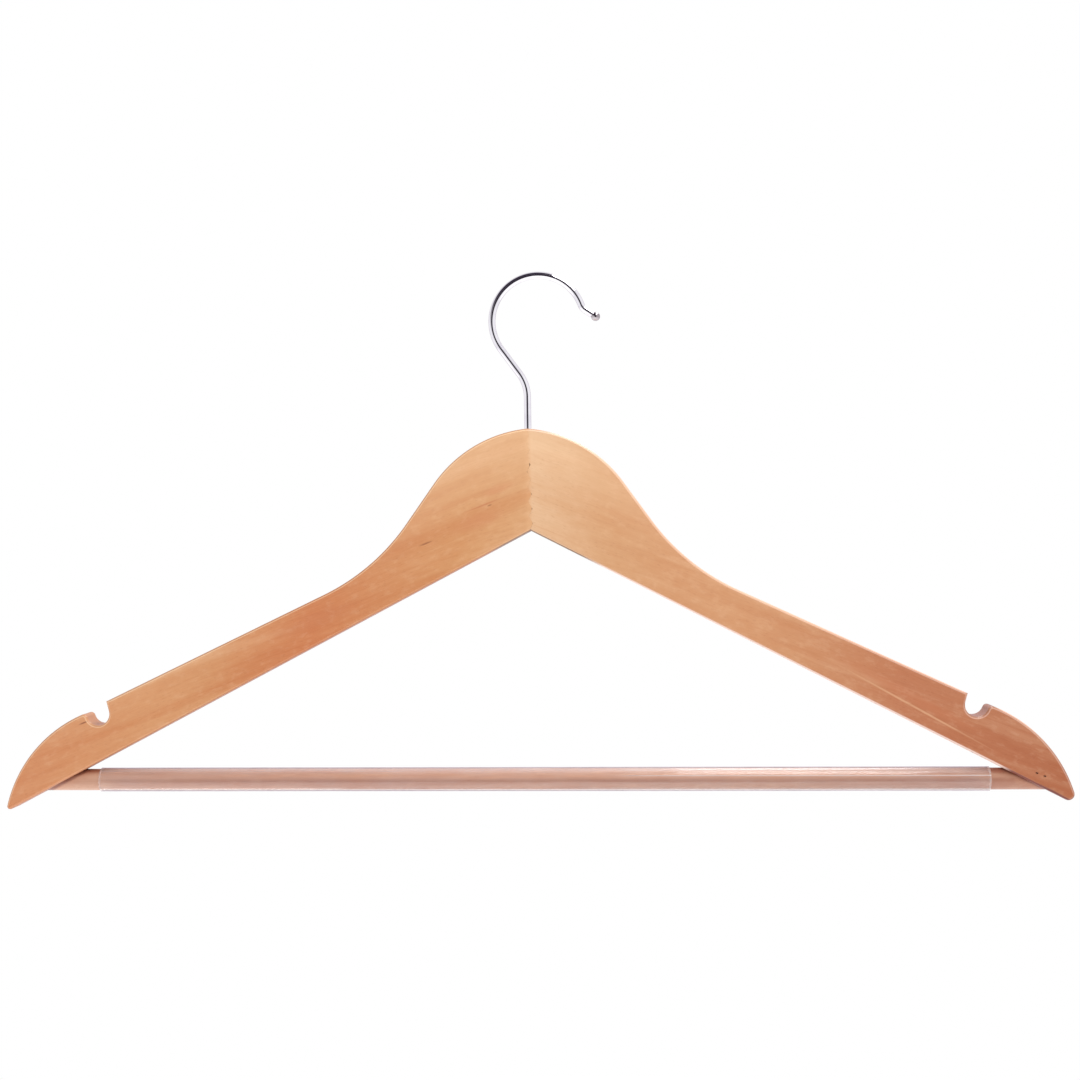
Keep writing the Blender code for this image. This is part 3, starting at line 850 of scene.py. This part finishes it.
def grain_layers(tree, place, grain, seed):
    """Masks of the wood's figure, stretched along a grain that sways a little."""
    shift = (SEAM_ORIGIN.x + seed * 0.31, seed * 0.17, SEAM_ORIGIN.z)
    sway = tree.noise(tree.local(place, shift, grain, SWAY_SIZE))
    sway = tree.product(tree.maths("SUBTRACT", sway, 0.5), SWAY_REACH)
    offset = tree.add("ShaderNodeCombineXYZ", {2: sway}).outputs[0]
    bent = tree.add("ShaderNodeVectorMath", {0: place, 1: offset}, operation="ADD").outputs[0]
    layers = {}
    for layer, (size, detail, roughness) in GRAIN_LAYERS.items():
        layers[layer] = tree.noise(tree.local(bent, shift, grain, size), detail, roughness)
    line = tree.maths("FRACT", tree.product(layers["ring"], LINES_PER_WAVE))
    layers["line"] = tree.ease(tree.apart(line, 0.5), 0.0, 0.16, 1.0, 0.0)
    cell = tree.cells(tree.local(bent, shift, grain, FLECK_SIZE))
    kept = tree.ease(tree.parts(cell["Color"])[0], 0.55, 0.60)
    layers["fleck"] = tree.product(tree.ease(cell["Distance"], 0.12, 0.30, 1.0, 0.0), kept)
    return layers


def figured(tree, tint, layers, figure):
    """A tint with bands, growth lines, fibres, ray flecks and a cloudy mottle."""
    bands, drift, mottle = layers["bands"], layers["drift"], layers["mottle"]
    tint = tree.deepen(tree.ease(bands, 0.46, 0.70, 0.0, 0.75 * figure), tint, (0.93, 0.80, 0.70))
    tint = tree.mix(tree.ease(bands, 0.46, 0.30, 0.0, 0.24 * figure), tint, PALE_BAND)
    tint = tree.deepen(tree.ease(drift, 0.50, 0.72, 0.0, 0.55), tint, (0.96, 0.87, 0.80))
    tint = tree.deepen(tree.product(layers["line"], 0.16), tint, (0.86, 0.74, 0.64))
    tint = tree.deepen(tree.ease(layers["fibre"], 0.35, 0.70, 0.0, 0.30), tint, (0.88, 0.79, 0.72))
    tint = tree.deepen(tree.ease(layers["hair"], 0.30, 0.75, 0.0, 0.26), tint, (0.90, 0.84, 0.78))
    tint = tree.deepen(tree.product(layers["fleck"], 0.30), tint, (0.72, 0.56, 0.48))
    tint = tree.deepen(tree.ease(mottle, 0.48, 0.70, 0.0, 0.26), tint, (0.95, 0.85, 0.74))
    return tree.mix(tree.ease(mottle, 0.50, 0.30, 0.0, 0.09), tint, PALE_MOTTLE)


def marked(tree, tint, place, grain, marks, fibre):
    """A tint with single marks over it, broken up by the fibres."""
    for mark in marks:
        size = (mark.length, MARK_DEPTH, mark.width)
        spot = tree.local(place, (mark.x, 0.0, mark.z), grain + mark.lean, size)
        away = tree.add("ShaderNodeVectorMath", {0: spot}, operation="LENGTH").outputs["Value"]
        mask = tree.product(tree.ease(away, 0.2, 1.0, 1.0, 0.0), mark.strength)
        mask = tree.product(mask, tree.ease(fibre, 0.25, 0.65, 0.45, 1.0))
        tint = tree.mix(mask, tint, mark.tint)
    return tint


def height_over(tree, place, turn):
    """Height over a line through the inner vertex that is turned about Y."""
    return tree.parts(tree.local(place, (VERTEX_X, 0.0, 0.0), turn, UNIT))[2]


def shadowed(tree, tint, place, contacts):
    """A tint with thin shadows below the arms' lower edges."""
    for turn in contacts:
        below = height_over(tree, place, turn)
        tint = tree.mix(tree.ease(below, -0.0045, 0.0, 0.0, 0.30), tint, RED_BROWN)
        tint = tree.mix(tree.ease(below, -0.0015, -0.0003, 0.0, 0.80), tint, SHADOW_RED)
    return tint


def paint_rim_light(tree, tint, run, across, rims):
    """A tint with the painted highlights and painted shade of the rounded rims and of the crest where a face
    turns.
    """
    facing = tree.parts(tree.add("ShaderNodeTexCoord", {}).outputs["Normal"])
    flat = tree.maths("ABSOLUTE", facing[1])
    # painted highlight along the crest, strongest where the crest faces up
    crest = tree.product(tree.ease(flat, 0.995, 0.96), tree.ease(flat, 0.78, 0.90))
    crest = tree.product(crest, tree.ease(facing[2], -0.1, 0.2, 0.05, rims.crest[3]))
    tint = tree.mix(crest, tint, (*rims.crest[:3], 1.0))
    # painted highlights and painted shade on the upper and under rims, the under one also on a strip of the
    # face
    rim = tree.ease(flat, 0.90, 0.60)
    low_face = tree.ease(across, rims.strip, rims.strip / 2)
    for side, stops, face in ((1.0, rims.upper, 0.0), (-1.0, rims.under, low_face)):
        edge = tree.ramp(run, stops)
        mask = tree.product(rim, tree.ease(tree.product(facing[2], side), 0.0, 0.3))
        mask = tree.maths("MAXIMUM", mask, face)
        tint = tree.mix(tree.product(mask, edge[1]), tint, edge[0])
    return tint


def wood(name, grain, lower_edge, reach, tones, rims, marks, seed, figure=1.0, contacts=()):
    """Lacquered beech.

    grain and lower_edge are turns about Y. Tones and rims run along X over reach. contacts are
    the turns of the arms' lower edges that throw a thin shadow on the wood below them. seed
    moves the figure to another place, and figure scales its bands.
    """
    material = bpy.data.materials.new(name)
    tree = Tree(material)
    place = tree.seam_vector()
    span = {0: tree.parts(place)[0], 1: reach[0], 2: reach[1]}
    run = tree.add("ShaderNodeMapRange", span).outputs[0]
    layers = grain_layers(tree, place, grain, seed)
    tint = figured(tree, tree.ramp(run, tones)[0], layers, figure)
    across = height_over(tree, place, lower_edge)
    upper_face = tree.ease(across, 0.45 * ARM_DEPTH, 1.35 * ARM_DEPTH, 0.0, 0.22)
    tint = tree.mix(upper_face, tint, PALE_FACE)
    fibre, hair, fleck = layers["fibre"], layers["hair"], layers["fleck"]
    tint = marked(tree, tint, place, grain, marks, fibre)
    tint = shadowed(tree, tint, place, contacts)
    # painted highlights and painted shade on the rims and crests
    tint = paint_rim_light(tree, tint, run, across, rims)

    rough = tree.total(tree.ease(hair, 0.2, 0.8, 0.36, 0.52), tree.product(fleck, 0.10))
    height = tree.total(tree.product(fibre, 0.6), tree.product(hair, 0.3))
    height = tree.maths("SUBTRACT", height, tree.product(fleck, 0.5))
    inputs = {"Base Color": tint, "Roughness": rough, "Normal": tree.bump(height, 0.25, 0.0001)}
    inputs.update({"Coat Weight": 0.35, "Coat Roughness": 0.16, "IOR": 1.48})
    tree.surface(inputs)
    return material


def glue():
    """Dried amber wood glue."""
    material = bpy.data.materials.new("wood_glue")
    tree = Tree(material)
    cloud = tree.noise(tree.local(tree.object_vector(), tuple(SEAM_ORIGIN), 0.0, GLUE_CLOUD_SIZE))
    tint = tree.mix(cloud, colour(118, 74, 44), colour(160, 108, 66))
    rough = tree.ease(cloud, 0.3, 0.7, 0.35, 0.60)
    height = tree.bump(cloud, 0.3, 0.0001)
    inputs = {"Base Color": tint, "Roughness": rough, "Normal": height}
    tree.surface(inputs)
    return material


def metal(name, bright, dark, grain, smooth, rough, seed):
    """Bare or plated metal with fine draw lines, slight clouding and small pits.

    bright and dark are its tones, grain the size of the draw lines; smooth and rough are the
    least and the most roughness.
    """
    material = bpy.data.materials.new(name)
    tree = Tree(material)
    place = tree.object_vector()
    shift = (seed * 0.13, seed * 0.29, 0.0)
    lines = tree.noise(tree.local(place, shift, 0.0, grain), 3.0, 0.6)
    cloud = tree.noise(tree.local(place, shift, 0.0, CLOUD_SIZE), 3.0)
    pits = tree.cells(tree.local(place, shift, 0.0, PIT_SPACING))
    pit = tree.ease(pits["Distance"], 0.06, 0.16, 1.0, 0.0)
    dark = (*dark, 1.0)
    tint = tree.mix(tree.ease(cloud, 0.35, 0.75), (*bright, 1.0), dark)
    tint = tree.mix(tree.product(pit, 0.35), tint, dark)
    wear = tree.total(tree.product(lines, 0.6), tree.product(cloud, 0.4))
    level = tree.ease(wear, 0.35, 0.65, smooth, rough)
    height = tree.maths("SUBTRACT", tree.product(lines, 0.5), tree.product(pit, 0.5))
    inputs = {"Base Color": tint, "Roughness": level, "Normal": tree.bump(height, 0.04, 0.00001)}
    inputs["Metallic"] = 1.0
    tree.surface(inputs)
    return material


def sleeve_milk_and_glints(tree, lines, smear):
    """Where the tube is milky, a little all over and more at its cut ends, and its painted highlights."""
    spot = tree.parts(tree.seam_vector())
    level = tree.total(spot[2], tree.product(spot[0], math.tan(BAR_TILT)))
    level = tree.maths("SUBTRACT", level, BAR_Z)
    # painted highlight: a thin line across the tube's front above its axis, on the right half
    front_glint = tree.ease(tree.apart(level, FRONT_GLINT_HEIGHT), 0.00008, 0.00028, 1.0, 0.0)
    front_glint = tree.product(front_glint, tree.ease(spot[1], -0.0034, -0.0042))
    front_glint = tree.product(front_glint, tree.ease(spot[0], 0.020, 0.060))
    haze = tree.total(tree.product(lines, 0.5), tree.product(smear, 0.5))
    haze = tree.total(tree.ease(haze, 0.35, 0.65, 0.05, 0.13), tree.product(front_glint, 0.45))
    half = SLEEVE_LENGTH / 2
    end = tree.ease(tree.apart(spot[0], SLEEVE_OFFSET), half - 0.0012, half - 0.0006)
    haze = tree.total(haze, tree.product(end, 0.18))
    # painted highlight: a line low on the tube's front
    low_glint = tree.ease(tree.apart(level, LOW_GLINT_HEIGHT), 0.00012, 0.00036, 0.45, 0.0)
    low_glint = tree.product(low_glint, tree.ease(spot[1], -0.0010, -0.0020))
    # painted sheen along the top of the tube
    top = tree.ease(level, 0.0024, 0.0042, 0.0, 0.20)
    return tree.total(haze, tree.total(low_glint, top))


def vinyl():
    """Clear soft PVC: a mirror-like film over a faint rosy haze, with draw lines along the tube;
    the haze also holds painted highlights.

    Only the side a ray enters by reflects, so light passes out of the tube's wall unchanged.
    """
    material = bpy.data.materials.new("clear_pvc")
    tree = Tree(material)
    place = tree.object_vector()
    lines = tree.noise(tree.local(place, NO_SHIFT, 0.0, DRAW_LINE_SIZE), 2.0)
    smear = tree.noise(tree.local(place, NO_SHIFT, 0.0, SMEAR_SIZE), 3.0)
    bump = tree.bump(tree.total(lines, smear), 0.06, 0.0001)
    inside = tree.add("ShaderNodeNewGeometry", {}).outputs["Backfacing"]
    enters = tree.maths("SUBTRACT", 1.0, inside)
    # the haze also carries the tube's painted highlight lines and painted sheen
    haze = tree.product(sleeve_milk_and_glints(tree, lines, smear), enters)
    fresnel = tree.add("ShaderNodeFresnel", {"IOR": 1.52, "Normal": bump}).outputs[0]
    facing = tree.add("ShaderNodeLayerWeight", {"Blend": 0.5}).outputs["Facing"]
    pass_through = tree.mix(tree.ease(facing, 0.54, 0.78), CLEAR_TINT, OUTLINE_TINT)
    clear = tree.add("ShaderNodeBsdfTransparent", {0: pass_through}).outputs[0]
    polish = tree.ease(smear, 0.3, 0.7, 0.05, 0.14)
    inputs = {"Color": (1.0, 0.97, 0.97, 1.0), "Roughness": polish, "Normal": bump}
    gloss = tree.add("ShaderNodeBsdfGlossy", inputs).outputs[0]
    mirror = tree.product(fresnel, enters)
    film = tree.add("ShaderNodeMixShader", {0: mirror, 1: clear, 2: gloss}).outputs[0]
    body = tree.nodes["Principled BSDF"]
    # milky white of the haze and of its painted highlights
    milk = tree.mix(smear, colour(247, 233, 229), colour(251, 242, 238))
    dull = tree.ease(lines, 0.3, 0.7, 0.2, 0.35)
    tree.feed(body, {"Base Color": milk, "Roughness": dull, "Normal": bump})
    both = tree.add("ShaderNodeMixShader", {0: haze, 1: film, 2: body.outputs[0]}).outputs[0]
    tree.links.new(both, tree.nodes["Material Output"].inputs["Surface"])
    return material


# ---- tones along each wood ----
LEFT_TONES = [
    (0.000, colour(222, 171, 124)),
    (0.007, colour(217, 164, 116)),
    (0.120, colour(213, 154, 103)),
    (0.280, colour(211, 145, 96)),
    (0.420, colour(209, 132, 84)),
    (0.620, colour(214, 153, 104)),
    (0.740, colour(217, 156, 107)),
    (1.000, colour(212, 142, 95)),
]
RIGHT_TONES = [
    (0.000, colour(222, 171, 124)),
    (0.007, colour(228, 187, 147)),
    (0.140, colour(215, 164, 119)),
    (0.280, colour(210, 152, 107)),
    (0.390, colour(211, 154, 110)),
    (0.500, colour(206, 147, 104)),
    (0.700, colour(190, 121, 83)),
    (1.000, colour(176, 103, 65)),
]
BAR_TONES = [
    (0.00, colour(200, 153, 128)),
    (0.04, colour(200, 153, 128)),
    (0.07, colour(188, 136, 112)),
    (0.40, colour(177, 121, 99)),
    (0.75, colour(182, 134, 109)),
    (0.95, colour(163, 111, 91)),
    (1.00, colour(172, 118, 94)),
]
BAR_TONE_REACH = 0.2
LEFT_GRAIN = -math.radians(20.5)
RIGHT_GRAIN = math.radians(21.5)
PALE_BAND = colour(246, 206, 166)
PALE_MOTTLE = colour(250, 214, 176)
PALE_FACE = colour(250, 212, 170)
PALE_LINE = colour(244, 200, 156)
RED_BROWN = colour(196, 118, 78)
DARK_BROWN = colour(128, 66, 42)
# painted shadow on the bar's top where it runs into the arms
ENTRY_SHADOW_RED = colour(150, 62, 40)
SHADOW_RED = colour(112, 36, 20)

# ---- rims: mostly painted highlights and painted shade, an alpha being a strength ----
# painted highlight on the right arm's upper rim
HIGHLIGHT_RIM = colour(228, 186, 162, 0.88)
# painted highlight on the right arm's under rim
PALE_HIGHLIGHT_RIM = colour(242, 214, 202, 0.90)
# painted shade on the upper rims, outside the crest's painted highlight
SHADED_RIM = colour(160, 106, 72, 0.75)
# painted shade on the left arm's under rim
SHADED_UNDER_RIM = colour(170, 104, 66, 0.75)
# painted shade on the under rims next to the inner vertex
VERTEX_SHADE_RIM = colour(104, 78, 66, 0.80)
# painted shadow on the right arm's under rim over the end of the bar
RIM_SHADOW = (*SHADOW_RED[:3], 0.90)
# painted shade: the right notch's walls are darkened against the top light above them
NOTCH_WALL = colour(150, 102, 78, 0.95)
LEFT_NOTCH_WALL = colour(206, 150, 108, 0.85)
# painted highlights along the crests, where a face turns into its rim
CREST_HIGHLIGHT = colour(255, 226, 186, 0.40)
PALE_CREST_HIGHLIGHT = colour(255, 238, 230, 0.22)
BAR_RIM = colour(216, 170, 146, 0.10)
NOTCH_START = 0.815
NOTCH_END = 0.868


def upper_rim(near_seam, along, notch_wall, near_tip):
    """Stops of an upper rim: the seam's end, the arm, the notch's walls and the tip."""
    stops = near_seam + [(NOTCH_START, along), (NOTCH_START + 0.005, notch_wall)]
    return stops + [(NOTCH_END, notch_wall), (NOTCH_END + 0.02, along)] + near_tip


LEFT_RIMS = Rims(
    upper=upper_rim([(0.00, SHADED_RIM)], SHADED_RIM, LEFT_NOTCH_WALL, [(1.00, SHADED_RIM)]),
    under=[(0.00, VERTEX_SHADE_RIM), (0.05, VERTEX_SHADE_RIM), (0.08, SHADED_UNDER_RIM), (1.00, SHADED_UNDER_RIM)],
    crest=CREST_HIGHLIGHT,
    strip=0.0001,
)
RIGHT_RIMS = Rims(
    upper=upper_rim(
        [(0.00, SHADED_RIM), (0.06, HIGHLIGHT_RIM)],
        HIGHLIGHT_RIM,
        NOTCH_WALL,
        [(0.93, HIGHLIGHT_RIM), (1.00, SHADED_RIM)],
    ),
    under=[
        (0.00, VERTEX_SHADE_RIM),
        (0.10, VERTEX_SHADE_RIM),
        (0.14, PALE_HIGHLIGHT_RIM),
        (0.88, PALE_HIGHLIGHT_RIM),
        (0.90, RIM_SHADOW),
        (1.00, RIM_SHADOW),
    ],
    crest=PALE_CREST_HIGHLIGHT,
    # how far the under rim's painted highlight runs on to the face
    strip=0.0007,
)
# the strip is wider than the bar, so its faint tone covers the whole bar
BAR_RIMS = Rims(
    upper=[(0.00, BAR_RIM), (1.00, BAR_RIM)],
    under=[(0.00, BAR_RIM), (1.00, BAR_RIM)],
    crest=BAR_RIM,
    strip=1.0,
)

# ---- single marks: streaks in the wood, and painted light and shade ----
LEFT_MARKS = [
    Mark(-0.0210, 0.0045, 0.0150, 0.0050, colour(208, 138, 94), 0.55),
    Mark(-0.0130, 0.0170, 0.0090, 0.0024, colour(212, 144, 100), 0.50),
    Mark(-0.0190, 0.0108, 0.0100, 0.0005, RED_BROWN, 0.70),
    Mark(-0.0160, 0.0108, 0.0014, 0.0004, DARK_BROWN, 0.80),
    Mark(-0.0430, -0.0047, 0.0040, 0.0006, DARK_BROWN, 0.65),
    Mark(-0.0900, -0.0360, 0.0260, 0.0050, RED_BROWN, 0.35),
    Mark(-0.1888, -0.0781, 0.0028, 0.0005, DARK_BROWN, 0.75),
]
RIGHT_MARKS = [
    Mark(0.1575, -0.0746, 0.0440, 0.0006, PALE_LINE, 0.42, 0.143),
    Mark(0.1580, -0.0712, 0.0420, 0.0032, RED_BROWN, 0.40, 0.135),
    # painted shade along the underside of the right arm's tip
    Mark(0.2120, -0.1092, 0.0075, 0.0009, SHADOW_RED, 0.85, 0.103),
]
# painted light on the bar: a painted highlight along its upper side, painted shade just below its axis and
# painted shadows where it runs into the arms
BAR_PAINTED_LIGHT = [
    Mark(0.0, BAR_Z + 0.0022, 0.34, 0.0024, colour(232, 178, 140), 0.55, BAR_TILT),
    Mark(0.0, BAR_Z - 0.0006, 0.34, 0.0018, colour(160, 100, 76), 0.40, BAR_TILT),
    Mark(-0.1860, -0.0988, 0.0080, 0.0016, ENTRY_SHADOW_RED, 0.70),
    Mark(0.1910, -0.1010, 0.0080, 0.0016, ENTRY_SHADOW_RED, 0.70),
]

# ---- glue, metals and vinyl ----
GLUE_CLOUD_SIZE = (0.001, 0.001, 0.001)
CLOUD_SIZE = (0.006, 0.006, 0.006)
PIT_SPACING = (0.0011, 0.0011, 0.0011)
DRAW_LINE_SIZE = (0.080, 0.0008, 0.0008)
SMEAR_SIZE = (0.014, 0.004, 0.004)
CLEAR_TINT = (0.998, 0.994, 0.993, 1.0)
OUTLINE_TINT = (0.52, 0.44, 0.52, 1.0)
# size of the fine lines, by the way each metal piece was made
DRAWN_UP = (0.0006, 0.0006, 0.004)
POLISHED = (0.0006, 0.0006, 0.0006)
TURNED = (0.0004, 0.0004, 0.003)
DRAWN_BACK = (0.0004, 0.003, 0.0004)

# ---- studio ----
DARK_CORNER = Vector((-0.28, -0.57, 0.77)).normalized()
STUDIO_BRIGHT = (0.96, 0.95, 0.98, 1.0)
STUDIO_FRONT = (0.012, 0.008, 0.014, 1.0)
STUDIO_CORNER = (0.04, 0.03, 0.05, 1.0)
STUDIO_BACK = (0.58, 0.50, 0.58, 1.0)
EVEN_BELOW = (0.82, 0.81, 0.80, 1.0)
EVEN_ABOVE = (0.94, 0.93, 0.94, 1.0)
TOP_LIGHT = (0.175, 0.0, 0.400)
LOW_LIGHT = (-0.232, 0.05, -0.500)
FLOOR_SIDES = 96
FLOOR_CLOUD_SIZE = (0.5, 0.5, 0.5)
FLOOR_GLOW = 0.45


def build_world():
    """White seen directly, even light on surfaces, and a studio of its own in reflections.

    Reflections are bright all round, dark at the camera's side and to the upper left, and
    dimmer straight behind.
    """
    background = bpy.data.worlds.new("studio")
    bpy.context.scene.world = background
    tree = Tree(background)
    way = tree.add("ShaderNodeTexCoord", {}).outputs["Generated"]
    parts = tree.parts(way)
    front = tree.ease(tree.product(parts[1], -1.0), 0.84, 0.97)
    corner = tree.add("ShaderNodeVectorMath", {0: way, 1: DARK_CORNER}, operation="DOT_PRODUCT")
    studio = tree.mix(front, STUDIO_BRIGHT, STUDIO_FRONT)
    studio = tree.mix(tree.ease(corner.outputs["Value"], 0.55, 0.92), studio, STUDIO_CORNER)
    studio = tree.mix(tree.ease(parts[1], 0.45, 0.90), studio, STUDIO_BACK)
    even = tree.mix(tree.ease(parts[2], -0.8, 0.8), EVEN_BELOW, EVEN_ABOVE)
    path = tree.add("ShaderNodeLightPath", {}).outputs
    level = tree.mix(path["Is Glossy Ray"], even, studio)
    level = tree.mix(path["Is Camera Ray"], level, WHITE)
    tree.feed(tree.nodes["Background"], {0: level, 1: 1.0})


def softbox(name, spot, upward, width, depth, watts):
    """A level rectangular light at a spot of the seam frame, not itself visible."""
    data = bpy.data.lights.new(name, "AREA")
    data.shape = "RECTANGLE"
    data.size = width
    data.size_y = depth
    data.energy = watts
    lamp = bpy.data.objects.new(name, data)
    lamp.location = world(*spot)
    lamp.rotation_euler = (math.pi if upward else 0.0, 0.0, 0.0)
    lamp.visible_camera = False
    bpy.context.scene.collection.objects.link(lamp)


def build_floor():
    """A plain pale floor far below the hanger."""
    level = CAD_LOW.z - FLOOR_DROP
    verts = [(0.0, 0.0, level)]
    for i in range(FLOOR_SIDES):
        angle = 2 * math.pi * i / FLOOR_SIDES
        verts.append((FLOOR_RADIUS * math.cos(angle), FLOOR_RADIUS * math.sin(angle), level))
    faces = [(0, 1 + i, 1 + (i + 1) % FLOOR_SIDES) for i in range(FLOOR_SIDES)]
    floor = mesh_object("studio_floor", verts, faces)
    material = bpy.data.materials.new("studio_floor")
    tree = Tree(material)
    cloud = tree.noise(tree.local(tree.object_vector(), NO_SHIFT, 0.0, FLOOR_CLOUD_SIZE))
    tint = tree.mix(cloud, (0.86, 0.86, 0.86, 1.0), (0.90, 0.90, 0.90, 1.0))
    inputs = {"Base Color": tint, "Roughness": 0.9}
    inputs.update({"Emission Color": WHITE, "Emission Strength": FLOOR_GLOW})
    tree.surface(inputs)
    floor.data.materials.append(material)


def build_camera():
    """Camera nearly square to the hanger, a little to its right."""
    data = bpy.data.cameras.new("camera")
    data.lens = CAMERA_LENS
    data.sensor_width = CAMERA_SENSOR
    data.clip_start = 0.01
    camera = bpy.data.objects.new("camera", data)
    turn = Matrix.Rotation(CAMERA_YAW, 4, "Z") @ Matrix.Rotation(math.pi / 2, 4, "X")
    turn = turn @ Matrix.Rotation(CAMERA_ROLL, 4, "Z")
    camera.matrix_world = Matrix.Translation(world(CAMERA_X, -CAMERA_DISTANCE, CAMERA_Z)) @ turn
    bpy.context.scene.collection.objects.link(camera)
    bpy.context.scene.camera = camera


def left_beech():
    """Wood of the left arm."""
    reach = (0.0, -ARM_REACH)
    return wood("beech_left", LEFT_GRAIN, -ARM_BOTTOM_ANGLE, reach, LEFT_TONES, LEFT_RIMS, LEFT_MARKS, 1)


def right_beech():
    """Wood of the right arm, with a fainter figure."""
    reach = (0.0, ARM_REACH)
    tones, rims, marks = RIGHT_TONES, RIGHT_RIMS, RIGHT_MARKS
    return wood("beech_right", RIGHT_GRAIN, ARM_BOTTOM_ANGLE, reach, tones, rims, marks, 2, figure=0.7)


def bar_beech():
    """Wood of the bar, with painted highlight and painted shade along it and the arms' shadow painted where
    it leaves them.
    """
    reach = (-BAR_TONE_REACH, BAR_TONE_REACH)
    contacts = (-ARM_BOTTOM_ANGLE, ARM_BOTTOM_ANGLE)
    tones, rims, marks = BAR_TONES, BAR_RIMS, BAR_PAINTED_LIGHT
    return wood("beech_bar_wood", 0.0, 0.0, reach, tones, rims, marks, 3, figure=0.45, contacts=contacts)


def hook_chrome():
    """Bright plate on the hook's wire."""
    return metal("hook_chrome_plate", (0.90, 0.89, 0.92), (0.80, 0.78, 0.83), DRAWN_UP, 0.05, 0.11, 1)


def ball_chrome():
    """Darker plate on the ball."""
    return metal("ball_chrome_plate", (0.62, 0.58, 0.60), (0.26, 0.22, 0.24), POLISHED, 0.05, 0.10, 2)


def bush_zinc():
    """Dull zinc of the bush."""
    return metal("bush_zinc", (0.60, 0.60, 0.58), (0.45, 0.43, 0.40), TURNED, 0.30, 0.50, 3)


def collar_zinc():
    """Dull zinc of the riveted collar."""
    return metal("collar_zinc", (0.55, 0.55, 0.54), (0.40, 0.38, 0.36), TURNED, 0.35, 0.55, 4)


def staple_steel():
    """Brown coated wire of the staples."""
    return metal("staple_wire", (0.38, 0.17, 0.11), (0.18, 0.075, 0.045), DRAWN_BACK, 0.35, 0.60, 5)


def build_hanger():
    """All the pieces on their bodies, with their materials."""
    cuts = tooth_cuts()
    body = "hanger_body"
    finish_piece(build_arm("beech_arm_left", -1, cuts), left_beech(), body, "left_arm_wood", "left_arm")
    finish_piece(build_arm("beech_arm_right", 1, cuts), right_beech(), body, "right_arm_wood", "right_arm")
    finish_piece(build_glue(cuts), glue(), body, "left_arm_wood")
    finish_piece(build_bar(), bar_beech(), body, "bar_wood", "trouser_bar")
    finish_piece(build_sleeve(), vinyl(), body, "clear_vinyl", "bar_sleeve")
    finish_piece(build_hook(), hook_chrome(), "hook", "hook_chrome", "hook_wire")
    finish_piece(build_ball(), ball_chrome(), "hook", "ball_chrome", "hook_ball_tip")


def dress_fittings():
    """Materials of the nodes that stay as they are in the CAD."""
    steel = staple_steel()
    looks = {"hook_bush": bush_zinc(), "hook_collar": collar_zinc()}
    looks.update({"bar_staple_left": steel, "bar_staple_right": steel})
    for node, material in looks.items():
        frame["nodes"][node].material_slots[0].material = material


build_camera()
build_world()
build_floor()
build_hanger()
dress_fittings()
softbox("top_light", TOP_LIGHT, upward=False, width=0.19, depth=0.80, watts=2.5)
softbox("low_light", LOW_LIGHT, upward=True, width=0.155, depth=0.07, watts=0.14)
bpy.context.scene.view_settings.view_transform = "Standard"
